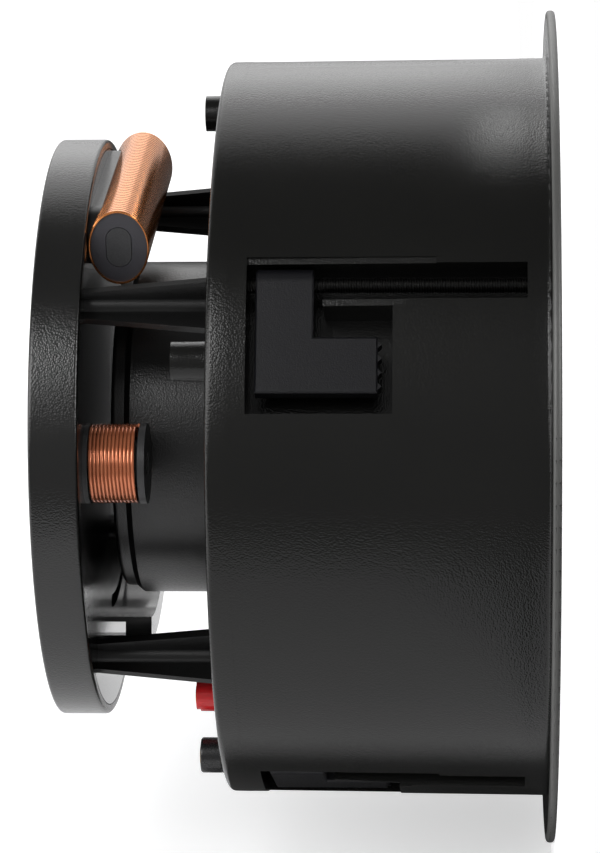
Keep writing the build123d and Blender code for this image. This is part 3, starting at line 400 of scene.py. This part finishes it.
# painted highlight: the rim's edge is painted light grey for the light that its rounded edge catches
RIM_HIGHLIGHT_DARK = "#40403e"
RIM_HIGHLIGHT_LIGHT = "#4c4c4a"
quarter_turn = [pi / 2 * step / EDGE_STEPS for step in range(EDGE_STEPS + 1)]
rim_face = RIM_THICKNESS + EDGE_PROUD
root_radius = DRUM_FRONT_RADIUS + EDGE_PROUD
round_middle = RIM_RADIUS - RIM_ROUND
root_section = [(root_radius - ROOT_DRAFT, ROOT_BAND)]
root_section += [
    (root_radius + ROOT_ROUND * (1 - cos(a)), rim_face + ROOT_ROUND * (1 - sin(a))) for a in quarter_turn
]
root_section += [(ROOT_WITHIN[0][0], rim_face), *ROOT_WITHIN]
rim_section = [(RIM_BAND, rim_face)]
rim_section += [
    (round_middle + RIM_ROUND * sin(a), rim_face - RIM_ROUND * (1 - cos(a))) for a in quarter_turn
]
rim_section += [(round_middle + RIM_ROUND * cos(a), RIM_ROUND * (1 - sin(a))) for a in quarter_turn]
rim_section += RIM_WITHIN
rear_face = DRUM_REAR + EDGE_PROUD
corner_middle = DRUM_REAR_RADIUS - DRUM_ROUND + EDGE_PROUD
rear_section = [(DRUM_REAR_RADIUS + DRUM_DRAFT + EDGE_PROUD, REAR_BAND)]
rear_section += [
    (corner_middle + DRUM_ROUND * cos(a), rear_face - DRUM_ROUND * (1 - sin(a))) for a in quarter_turn
]
rear_section += [(REAR_WITHIN[0][0], rear_face), *REAR_WITHIN]
# the rim's ring takes the painted highlight; the root and the rear corner keep the housing's black
rim_painted_highlight = moulded_plastic("polypropylene_black_painted_highlight", RIM_HIGHLIGHT_DARK, RIM_HIGHLIGHT_LIGHT, 0.6, 0.02, 0.45, 1.0)
# the facets' middles, not their corners, lie on the true circle, so that the ring covers the housing
facet_reach = MM / cos(pi / EDGE_SEGMENTS)
half_facet = Matrix.Rotation(pi / EDGE_SEGMENTS, 3, "Z")
for name, section, finish in (
    ("drum_root", root_section, housing_plastic),
    ("drum_rear_edge", rear_section, housing_plastic),
    ("rim_edge", rim_section, rim_painted_highlight),
):
    outline = [(radius * facet_reach, height * MM) for radius, height in section]
    bm = bmesh.new()
    turned(bm, outline, (0, 0), EDGE_SEGMENTS, closed=True)
    bmesh.ops.rotate(bm, cent=(0, 0, 0), matrix=half_facet, verts=bm.verts)
    new_piece(name, bm, finish, "speaker", "housing_black")

# Gasket: a flat ring of closed-cell foam that seals the driver's frame to the housing.
# Cut foam shows its burst cells as small pits and stays quite matt.
material, tree, shader = start_material("foam_grey_closed_cell")
place = add(tree, "ShaderNodeTexCoord").outputs["Object"]
cells = add(tree, "ShaderNodeTexVoronoi", {"Vector": place, "Scale": 1 / (0.6 * MM)})
tone = add(
    tree, "ShaderNodeMix", {0: cells.outputs["Distance"], 6: linear("#2a2a2b"), 7: linear("#3d3d3e")},
    data_type="RGBA",
)
pits = add(tree, "ShaderNodeBump", {"Height": cells.outputs["Distance"], "Distance": 0.15 * MM}, invert=True)
shader.inputs["Roughness"].default_value = 0.9
tree.links.new(tone.outputs[2], shader.inputs["Base Color"])
tree.links.new(pits.outputs[0], shader.inputs["Normal"])
dress(material, "gasket")

# Basket: the driver's frame, cast in aluminium alloy and powder coated black.
# The baked powder leaves a low orange peel under a satin skin.
material, tree, shader = start_material("aluminium_black_powder_coat")
place = add(tree, "ShaderNodeTexCoord").outputs["Object"]
peel = add(tree, "ShaderNodeTexNoise", {"Vector": place, "Scale": 1 / (1.1 * MM), "Detail": 1.0})
flow = add(tree, "ShaderNodeTexNoise", {"Vector": place, "Scale": 1 / (25 * MM), "Detail": 3.0})
tone = add(
    tree, "ShaderNodeMix", {0: flow.outputs[0], 6: linear("#161617"), 7: linear("#212122")}, data_type="RGBA"
)
gloss = add(tree, "ShaderNodeMapRange", {"Value": peel.outputs[0], "To Min": 0.34, "To Max": 0.5})
skin = add(tree, "ShaderNodeBump", {"Height": peel.outputs[0], "Distance": 0.05 * MM})
tree.links.new(tone.outputs[2], shader.inputs["Base Color"])
tree.links.new(gloss.outputs[0], shader.inputs["Roughness"])
tree.links.new(skin.outputs[0], shader.inputs["Normal"])
dress(material, "basket")


# Motor: a ferrite ring between the top plate and the pole yoke, both pressed from zinc-plated
# steel. The tweeter's post is turned from the same steel and stands on the pole.
def plated_metal(name, dark, light, mottle_mm, smooth, rough, coat=0.0, metallic=1.0):
    """Metal with a thin plated or enamelled skin, mottled a little in tone and gloss."""
    material, tree, shader = start_material(name)
    place = add(tree, "ShaderNodeTexCoord").outputs["Object"]
    mottle = add(tree, "ShaderNodeTexNoise", {"Vector": place, "Scale": 1 / (mottle_mm * MM), "Detail": 4.0})
    tone = add(
        tree, "ShaderNodeMix", {0: mottle.outputs[0], 6: linear(dark), 7: linear(light)}, data_type="RGBA"
    )
    gloss = add(tree, "ShaderNodeMapRange", {"Value": mottle.outputs[0], "To Min": smooth, "To Max": rough})
    shader.inputs["Metallic"].default_value = metallic
    shader.inputs["Coat Weight"].default_value = coat
    shader.inputs["Coat Roughness"].default_value = 0.12
    tree.links.new(tone.outputs[2], shader.inputs["Base Color"])
    tree.links.new(gloss.outputs[0], shader.inputs["Roughness"])
    return material


def ground_ferrite(name):
    """Sintered ferrite: dark grey ceramic with fine grinding grain and lighter specks."""
    material, tree, shader = start_material(name)
    place = add(tree, "ShaderNodeTexCoord").outputs["Object"]
    grit = add(tree, "ShaderNodeTexNoise", {"Vector": place, "Scale": 1 / (0.5 * MM), "Detail": 5.0})
    tone = add(
        tree, "ShaderNodeMix", {0: grit.outputs[0], 6: linear("#262627"), 7: linear("#4a4a4c")},
        data_type="RGBA",
    )
    grain = add(tree, "ShaderNodeBump", {"Height": grit.outputs[0], "Distance": 0.04 * MM})
    shader.inputs["Roughness"].default_value = 0.6
    tree.links.new(tone.outputs[2], shader.inputs["Base Color"])
    tree.links.new(grain.outputs[0], shader.inputs["Normal"])
    return material


ferrite = ground_ferrite("ferrite_ground")
dress(ferrite, "magnet_ring")
dress(
    plated_metal("steel_zinc_plated", "#97989a", "#b9babb", 1.5, 0.25, 0.42),
    "top_plate", "pole_yoke", "tweeter_post",
)


# Spider: a pressed disc of resin-dipped cotton cloth that centres the voice coil.
# The weave stays visible through the brittle amber resin.
def woven_cloth(name, dark, light, thread_mm, roughness):
    """A flat weave: threads along X and Y that rise and dip past each other."""
    material, tree, shader = start_material(name)
    place = add(tree, "ShaderNodeTexCoord").outputs["Object"]
    repeat = 2 * pi / 20 / (thread_mm * MM)
    warp = add(tree, "ShaderNodeTexWave", {"Vector": place, "Scale": repeat}, bands_direction="X")
    weft = add(tree, "ShaderNodeTexWave", {"Vector": place, "Scale": repeat}, bands_direction="Y")
    weave = add(
        tree, "ShaderNodeMath", {0: warp.outputs["Fac"], 1: weft.outputs["Fac"]}, operation="MULTIPLY"
    )
    tone = add(
        tree, "ShaderNodeMix", {0: weave.outputs[0], 6: linear(dark), 7: linear(light)}, data_type="RGBA"
    )
    threads = add(tree, "ShaderNodeBump", {"Height": weave.outputs[0], "Distance": 0.15 * MM})
    shader.inputs["Roughness"].default_value = roughness
    tree.links.new(tone.outputs[2], shader.inputs["Base Color"])
    tree.links.new(threads.outputs[0], shader.inputs["Normal"])
    return material


dress(woven_cloth("cotton_cloth_amber_resin", "#7a5526", "#b78d4f", 0.7, 0.6), "spider")

# Voice coil: enamelled copper wire on a thin former of amber polyimide film, glued to the cone.
# The enamel lies like a clear varnish over the bright metal.
copper = plated_metal("copper_enamelled", "#cf7a40", "#e09455", 6.0, 0.18, 0.24, 0.2, 0.85)
dress(copper, "voice_coil")
material, tree, shader = start_material("polyimide_film_amber")
place = add(tree, "ShaderNodeTexCoord").outputs["Object"]
streak = add(tree, "ShaderNodeTexNoise", {"Vector": place, "Scale": 1 / (4 * MM), "Detail": 3.0})
tone = add(
    tree, "ShaderNodeMix", {0: streak.outputs[0], 6: linear("#7c4a12"), 7: linear("#b3761f")},
    data_type="RGBA",
)
gloss = add(tree, "ShaderNodeMapRange", {"Value": streak.outputs[0], "To Min": 0.15, "To Max": 0.35})
tree.links.new(tone.outputs[2], shader.inputs["Base Color"])
tree.links.new(gloss.outputs[0], shader.inputs["Roughness"])
dress(material, "voice_coil_former")

# Cone: felted paper pulp, dyed black and pressed to its flare.
# Short fibres lie every way in the surface and keep it matt.
material, tree, shader = start_material("paper_pulp_black")
place = add(tree, "ShaderNodeTexCoord").outputs["Object"]
fibres = add(
    tree, "ShaderNodeTexNoise",
    {"Vector": place, "Scale": 1 / (1.6 * MM), "Detail": 6.0, "Roughness": 0.65, "Distortion": 2.5},
)
tone = add(
    tree, "ShaderNodeMix", {0: fibres.outputs[0], 6: linear("#1a1a1a"), 7: linear("#3a3938")},
    data_type="RGBA",
)
felted = add(tree, "ShaderNodeBump", {"Height": fibres.outputs[0], "Distance": 0.12 * MM})
shader.inputs["Roughness"].default_value = 0.72
tree.links.new(tone.outputs[2], shader.inputs["Base Color"])
tree.links.new(felted.outputs[0], shader.inputs["Normal"])
dress(material, "cone")


# Surround: a half-roll of butyl rubber between the cone's edge and the basket, one thin moulding.
# It is fixed at its outer lip, and its inner leg meets the cone's edge.
SURROUND_WALL = 0.8
ROLL_FRONT = 5.0
ROLL_INNER = 78.0
ROLL_OUTER = 88.5
ROLL_STEPS = 14
ROLL_SEGMENTS = 128
LIP_OUTER = 92.3
LIP_INNER = 74.0
LIP_FRONT = 9.9
CONE_EDGE = 17.0
material, tree, shader = start_material("butyl_rubber_black")
place = add(tree, "ShaderNodeTexCoord").outputs["Object"]
bloom = add(tree, "ShaderNodeTexNoise", {"Vector": place, "Scale": 1 / (6 * MM), "Detail": 5.0})
matt = add(tree, "ShaderNodeTexNoise", {"Vector": place, "Scale": 1 / (0.4 * MM), "Detail": 2.0})
tone = add(
    tree, "ShaderNodeMix", {0: bloom.outputs[0], 6: linear("#121212"), 7: linear("#1d1d1d")}, data_type="RGBA"
)
gloss = add(tree, "ShaderNodeMapRange", {"Value": bloom.outputs[0], "To Min": 0.38, "To Max": 0.58})
skin = add(tree, "ShaderNodeBump", {"Height": matt.outputs[0], "Distance": 0.02 * MM})
tree.links.new(tone.outputs[2], shader.inputs["Base Color"])
tree.links.new(gloss.outputs[0], shader.inputs["Roughness"])
tree.links.new(skin.outputs[0], shader.inputs["Normal"])
roll_middle = (ROLL_INNER + ROLL_OUTER) / 2
roll_width = (ROLL_OUTER - ROLL_INNER) / 2
roll_height = LIP_FRONT - ROLL_FRONT
swing = [pi * step / ROLL_STEPS for step in range(ROLL_STEPS + 1)]
leg_front = CONE_EDGE - SURROUND_WALL
section = [(LIP_INNER, CONE_EDGE), (LIP_INNER, leg_front), (ROLL_INNER, leg_front)]
section += [(roll_middle - roll_width * cos(a), LIP_FRONT - roll_height * sin(a)) for a in swing]
section += [(LIP_OUTER, LIP_FRONT), (LIP_OUTER, LIP_FRONT + SURROUND_WALL)]
inside = roll_width - SURROUND_WALL
section += [
    (roll_middle + inside * cos(a), LIP_FRONT + SURROUND_WALL - roll_height * sin(a)) for a in swing
]
section += [(ROLL_INNER + SURROUND_WALL, CONE_EDGE)]
bm = bmesh.new()
turned(bm, [(radius * MM, height * MM) for radius, height in section], (0, 0), ROLL_SEGMENTS, closed=True)
surround = new_piece("surround_rolled", bm, material, None, "surround_rubber", "surround")
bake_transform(surround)

# Trim ring: a satin ring moulded in black ABS, glued over the surround's outer lip.
# The tweeter's body, at the end of the post, is moulded in the same plastic.
dress(moulded_plastic("abs_black_satin", "#151515", "#1f1f1f", 0.6, 0.015, 0.38), "trim_ring", "tweeter_body")

# Tweeter dome: a small dome pressed from fine silk and coated dark, glued to its seat in the body.
# The coating fills the weave and leaves a soft sheen.
dress(woven_cloth("silk_coated_charcoal", "#1c1c20", "#34343a", 0.4, 0.42), "tweeter_dome")


# Driver screws: eight pan-head screws in black zinc that hold the driver's frame to the housing.
# Their heads have a tapering cross recess, pressed in before the plating.
def cross_recess(piece, places, reach, width, bottom, top):
    """Cut a cross into a piece at each place, between two heights."""
    bm = bmesh.new()
    for place in places:
        verts = []
        for arm in range(4):
            spin = Matrix.Rotation(-arm * pi / 2, 3, "Z")
            for corner in ((width / 2, width / 2, 0), (reach, width / 2, 0), (reach, -width / 2, 0)):
                verts.append(bm.verts.new(spin @ Vector(corner) + Vector((*place, top))))
        bm.faces.new(verts)
    grown = bmesh.ops.extrude_face_region(bm, geom=list(bm.faces))
    sunk = [item for item in grown["geom"] if isinstance(item, bmesh.types.BMVert)]
    bmesh.ops.translate(bm, vec=(0, 0, bottom - top), verts=sunk)
    bmesh.ops.recalc_face_normals(bm, faces=bm.faces)
    mesh = bpy.data.meshes.new("recess")
    bm.to_mesh(mesh)
    bm.free()
    cutter = bpy.data.objects.new("recess", mesh)
    scene.collection.objects.link(cutter)
    cut = piece.modifiers.new("recess", "BOOLEAN")
    cut.object = cutter
    cut.operation = "DIFFERENCE"
    cut.solver = "EXACT"
    shaped = piece.evaluated_get(bpy.context.evaluated_depsgraph_get())
    piece.data = bpy.data.meshes.new_from_object(shaped)
    piece.modifiers.clear()
    bpy.data.objects.remove(cutter)


blackened = plated_metal("steel_black_zinc", "#2a2a2c", "#4a4947", 0.8, 0.28, 0.5)
DRIVER_SCREWS = 8
DRIVER_SCREW_CIRCLE = 96 * MM
DRIVER_SCREW_FROM = radians(10)
PAN_SEGMENTS = 28
RECESS_START = 0.5 * MM
low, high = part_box("driver_screws")
ring = [DRIVER_SCREW_FROM + 2 * pi * index / DRIVER_SCREWS for index in range(DRIVER_SCREWS)]
screw_places = [(DRIVER_SCREW_CIRCLE * cos(a), DRIVER_SCREW_CIRCLE * sin(a)) for a in ring]
pan = [
    (0, low.z),
    (1.5 * MM, low.z + 0.05 * MM),
    (2.5 * MM, low.z + 0.4 * MM),
    (2.95 * MM, low.z + 1.1 * MM),
    (3.0 * MM, low.z + 2.0 * MM),
    (1.6 * MM, low.z + 2.0 * MM),
    (1.6 * MM, high.z - 0.6 * MM),
    (1.1 * MM, high.z),
    (0, high.z),
]
bm = bmesh.new()
for place in screw_places:
    turned(bm, pan, place, PAN_SEGMENTS)
screws = new_piece("driver_screws_crossed", bm, blackened, "speaker", "screw_black", "driver_screws")
cross_recess(screws, screw_places, 1.7 * MM, 0.75 * MM, low.z + 1.2 * MM, low.z - RECESS_START)

# Magnet boot: a soft moulded cap of black rubber pulled over the motor, with a stepped rear edge.
# It has a finer grain than the drum's and a soft sheen along its rolled edges.
dress(moulded_plastic("rubber_black_grained", "#0d0d0d", "#131313", 0.6, 0.06, 0.32, 0.6), "magnet_boot")

# Dog-legs: four L-shaped clamps in glass-filled nylon, each threaded on its screw in a pocket.
# The spark-eroded tool gives them a fine dry texture and a cooler black than the drum's.
dress(
    moulded_plastic("nylon_black_spark_eroded", "#0d0d10", "#131317", 0.5, 0.03, 0.36, 0.3),
    *[f"dogleg_{clamp}" for clamp in range(1, 5)],
)


# Clamp screws: four long steel machine screws, rolled thread and sunk pan head with a cross recess,
# in black zinc, that run from the rim's front through the dog-legs to the rear of the pockets.
def coiled(bm, loop, centre, pitch, turns, segments):
    """Wind a closed loop of points one turn up an upright line, repeat the turn, and close the ends."""
    verts = [bm.verts.new(point) for point in loop]
    edges = [bm.edges.new(pair) for pair in zip(verts, verts[1:] + verts[:1])]
    bmesh.ops.spin(
        bm, geom=verts + edges, cent=(centre[0], centre[1], 0), axis=(0, 0, 1),
        dvec=(0, 0, pitch / segments), angle=2 * pi, steps=segments,
    )
    first_turn = [*bm.verts, *bm.edges, *bm.faces]
    for turn in range(1, turns):
        copied = bmesh.ops.duplicate(bm, geom=first_turn)["geom"]
        verts = [item for item in copied if isinstance(item, bmesh.types.BMVert)]
        bmesh.ops.translate(bm, vec=(0, 0, turn * pitch), verts=verts)
    bmesh.ops.remove_doubles(bm, verts=bm.verts, dist=WELD)
    bmesh.ops.holes_fill(bm, edges=[edge for edge in bm.edges if edge.is_boundary])
    bmesh.ops.recalc_face_normals(bm, faces=bm.faces)


SCREW_RADIUS = 2.5 * MM
THREAD_PITCH = 0.8 * MM
THREAD_DEPTH = 0.45 * MM
SCREW_HEAD = 4.5 * MM
SCREW_HEAD_HEIGHT = 2.6 * MM
SCREW_SEGMENTS = 32
THREAD_SEGMENTS = 20
THREAD_ROOTED = 0.05 * MM
CREST_FROM = 0.42 * THREAD_PITCH
CREST_TO = 0.52 * THREAD_PITCH
FLANK_END = 0.94 * THREAD_PITCH
for clamp in range(1, 5):
    name = f"clamp_screw_{clamp}"
    low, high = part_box(name)
    centre = ((low.x + high.x) / 2, (low.y + high.y) / 2)
    core = SCREW_RADIUS - THREAD_DEPTH
    neck = low.z + SCREW_HEAD_HEIGHT
    outline = [
        (0, low.z),
        (SCREW_HEAD - 0.8 * MM, low.z),
        (SCREW_HEAD - 0.25 * MM, low.z + 0.25 * MM),
        (SCREW_HEAD, low.z + 0.8 * MM),
        (SCREW_HEAD, neck),
        (SCREW_RADIUS, neck),
        (SCREW_RADIUS, neck + 2 * MM),
        (core, neck + 2.4 * MM),
        (core, high.z - 0.4 * MM),
        (core - 0.4 * MM, high.z),
        (0, high.z),
    ]
    bm = bmesh.new()
    turned(bm, outline, centre, SCREW_SEGMENTS)
    screw = new_piece(name + "_threaded", bm, blackened, name, "screw_black", name)
    cross_recess(screw, [centre], 2.4 * MM, 0.9 * MM, low.z + 1.6 * MM, low.z - RECESS_START)
    thread_start = neck + 2.5 * MM
    thread_turns = int((high.z - thread_start) / THREAD_PITCH) - 1
    ridge = [
        (centre[0] + core - THREAD_ROOTED, centre[1], thread_start),
        (centre[0] + SCREW_RADIUS, centre[1], thread_start + CREST_FROM),
        (centre[0] + SCREW_RADIUS, centre[1], thread_start + CREST_TO),
        (centre[0] + core - THREAD_ROOTED, centre[1], thread_start + FLANK_END),
    ]
    thread = bmesh.new()
    coiled(thread, ridge, centre, THREAD_PITCH, thread_turns, THREAD_SEGMENTS)
    thread.from_mesh(screw.data)
    thread.to_mesh(screw.data)
    thread.free()
    screw.data.shade_smooth()
    screw.data.set_sharp_from_angle(angle=SMOOTH_UNDER)

# Cable posts: gold-plated brass studs in black bushes through the rear wall, with a red and a
# black screw cap. The caps are moulded in polished plastic, the red one in clear plastic. Here the red
# cap is opaque, and its bright red is partly its own colour and partly a painted glow of light through it.
dress(plated_metal("brass_gold_plated", "#c79a43", "#e3bd68", 0.8, 0.15, 0.3), "post_studs")
dress(
    moulded_plastic("abs_black_polished", "#1a1a1b", "#222223", 0.5, 0.004, 0.24, 0.5),
    "black_cap", "post_bushes",
)
material, tree, shader = start_material("polycarbonate_red_clear_painted_glow")
place = add(tree, "ShaderNodeTexCoord").outputs["Object"]
cloud = add(tree, "ShaderNodeTexNoise", {"Vector": place, "Scale": 1 / (5 * MM), "Detail": 2.0})
# partly painted glow: the red is brighter than the plastic's own, for light shining through the cap
tone = add(
    tree, "ShaderNodeMix", {0: cloud.outputs[0], 6: linear("#d81f24"), 7: linear("#ee3337")}, data_type="RGBA"
)
gloss = add(tree, "ShaderNodeMapRange", {"Value": cloud.outputs[0], "To Min": 0.14, "To Max": 0.3})
tree.links.new(tone.outputs[2], shader.inputs["Base Color"])
tree.links.new(gloss.outputs[0], shader.inputs["Roughness"])
dress(material, "red_cap")

# Pillars: four tapered ribbed posts that carry the crossover behind the housing.
# They are moulded in nylon with a smooth satin skin that draws long soft highlights.
satin_nylon = moulded_plastic("nylon_black_satin", "#0c0c0c", "#121212", 0.8, 0.01, 0.3)
dress(satin_nylon, *[f"pillar_{post}" for post in range(1, 5)])

# Crossover tray and cover: a shallow round box in black ABS with the drum's leather grain, its
# cover facing the drum with the sound duct's arc and the coils on it.
dress(
    moulded_plastic("abs_black_leather_grain", "#0c0c0b", "#121211", 0.6, 0.055, 0.17, 0.6), "crossover_tray"
)
dress(
    moulded_plastic("abs_black_fine_grain", "#0c0c0b", "#121211", 0.5, 0.01, 0.18, polish=0.6),
    "crossover_cover",
)

# Crossover board: a glass-epoxy circuit board under green solder mask, inside the tray.
# The mask is glossy, and darker where copper lies under it.
material, tree, shader = start_material("glass_epoxy_green_mask")
place = add(tree, "ShaderNodeTexCoord").outputs["Object"]
tracks = add(
    tree, "ShaderNodeTexVoronoi", {"Vector": place, "Scale": 1 / (9 * MM)}, distance="MANHATTAN",
    feature="DISTANCE_TO_EDGE",
)
copper_under = add(
    tree, "ShaderNodeMapRange", {"Value": tracks.outputs["Distance"], "From Min": 0.06, "From Max": 0.09}
)
tone = add(
    tree, "ShaderNodeMix", {0: copper_under.outputs[0], 6: linear("#2c6b3f"), 7: linear("#1d4d2c")},
    data_type="RGBA",
)
mask = add(tree, "ShaderNodeBump", {"Height": copper_under.outputs[0], "Distance": 0.03 * MM}, invert=True)
shader.inputs["Roughness"].default_value = 0.3
tree.links.new(tone.outputs[2], shader.inputs["Base Color"])
tree.links.new(mask.outputs[0], shader.inputs["Normal"])
dress(material, "crossover_board")

# Large choke: copper wire laid side by side on an oval grey former with a ferrite core, resting in
# a black cradle on the cover. Each turn of the wire shows as a fine line across the sleeve, and the
# turns are drawn thicker than the real wire, so that they show in the render.
dress(satin_nylon, "choke_cradle")
dress(moulded_plastic("nylon_grey_textured", "#38373b", "#454449", 0.5, 0.05, 0.42), "choke_former")
dress(ferrite, "choke_core")
CHOKE_NEAR = Vector((57.2, -70.5, 140.1)) * MM
CHOKE_FAR = Vector((89.5, 9.0, 140.1)) * MM
CHOKE_HALF_WIDTH = 12.4 * MM
CHOKE_HALF_HEIGHT = 9.8 * MM
CHOKE_COPPER = 0.7 * MM
SLEEVE_PITCH = 1.75 * MM
SLEEVE_GROOVE = 0.3 * MM
SLEEVE_SEGMENTS = 72
CROWN_FROM = 0.15
CROWN_TO = 0.85
choke_run = CHOKE_FAR - CHOKE_NEAR
turns = round(choke_run.length / SLEEVE_PITCH)
pitch = choke_run.length / turns
section = []
for wire in range(turns):
    section += [
        (CHOKE_HALF_WIDTH - SLEEVE_GROOVE, wire * pitch),
        (CHOKE_HALF_WIDTH, (wire + CROWN_FROM) * pitch),
        (CHOKE_HALF_WIDTH, (wire + CROWN_TO) * pitch),
    ]
section += [
    (CHOKE_HALF_WIDTH - SLEEVE_GROOVE, choke_run.length),
    (CHOKE_HALF_WIDTH - CHOKE_COPPER, choke_run.length),
    (CHOKE_HALF_WIDTH - CHOKE_COPPER, 0),
]
bm = bmesh.new()
turned(bm, section, (0, 0), SLEEVE_SEGMENTS, closed=True)
bmesh.ops.scale(bm, vec=(1, CHOKE_HALF_HEIGHT / CHOKE_HALF_WIDTH, 1), verts=bm.verts)
across = choke_run.cross(Vector((0, 0, 1))).normalized()
along = choke_run.normalized()
lie = Matrix((across, along.cross(across), along)).transposed()
bmesh.ops.transform(bm, matrix=Matrix.Translation(CHOKE_NEAR) @ lie.to_4x4(), verts=bm.verts)
new_piece("choke_winding_wound", bm, copper, "speaker", "copper", "choke_winding")

# Small coil: thirteen turns of round enamelled copper wire on a black bobbin with two flanges,
# screwed to the cover through the bobbin's hole.
COIL_CENTRE = (-11.8 * MM, -72.6 * MM)
COIL_RADIUS = 12.7 * MM
COIL_TURNS = 13
WIRE_SIDES = 12
WIRE_SQUARED = 0.5
COIL_SEGMENTS = 56
dress(moulded_plastic("nylon_black_coil_former", "#323233", "#3c3c3d", 0.8, 0.012, 0.34), "coil_bobbin")
red_copper = plated_metal("copper_red_enamelled", "#d0704a", "#e08a60", 6.0, 0.16, 0.22, 0.5, 0.6)
low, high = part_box("coil_winding")
wire_pitch = (high.z - low.z) / COIL_TURNS
wire_radius = wire_pitch / 2
wire_ring = [2 * pi * side / WIRE_SIDES for side in range(WIRE_SIDES)]
wire_middle = COIL_CENTRE[0] + COIL_RADIUS - wire_radius
loop = [
    (
        wire_middle + wire_radius * copysign(abs(cos(a)) ** WIRE_SQUARED, cos(a)),
        COIL_CENTRE[1],
        low.z + wire_radius + wire_radius * sin(a),
    )
    for a in wire_ring
]
bm = bmesh.new()
coiled(bm, loop, COIL_CENTRE, wire_pitch, COIL_TURNS - 1, COIL_SEGMENTS)
new_piece("coil_winding_wound", bm, red_copper, "speaker", "copper", "coil_winding")

# Tray screws: four pan-head screws in black zinc, through the tray into the pillars' tubes.
# They sit sunk in the tray's rear, with the same cross recess as the driver's screws.
TRAY_SCREWS = 4
TRAY_SCREW_CIRCLE = 84.7 * MM
TRAY_SCREW_FROM = radians(-63.1)
low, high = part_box("tray_screws")
ring = [TRAY_SCREW_FROM + 2 * pi * index / TRAY_SCREWS for index in range(TRAY_SCREWS)]
screw_places = [(TRAY_SCREW_CIRCLE * cos(a), TRAY_SCREW_CIRCLE * sin(a)) for a in ring]
pan = [
    (0, low.z),
    (1.3 * MM, low.z),
    (1.9 * MM, low.z + 0.8 * MM),
    (1.9 * MM, high.z - 2.2 * MM),
    (3.8 * MM, high.z - 2.2 * MM),
    (3.7 * MM, high.z - 1.1 * MM),
    (3.0 * MM, high.z - 0.4 * MM),
    (1.8 * MM, high.z - 0.05 * MM),
    (0, high.z),
]
bm = bmesh.new()
for place in screw_places:
    turned(bm, pan, place, PAN_SEGMENTS)
screws = new_piece("tray_screws_crossed", bm, blackened, "speaker", "screw_black", "tray_screws")
cross_recess(screws, screw_places, 2.1 * MM, 0.85 * MM, high.z - 1.4 * MM, high.z + RECESS_START)
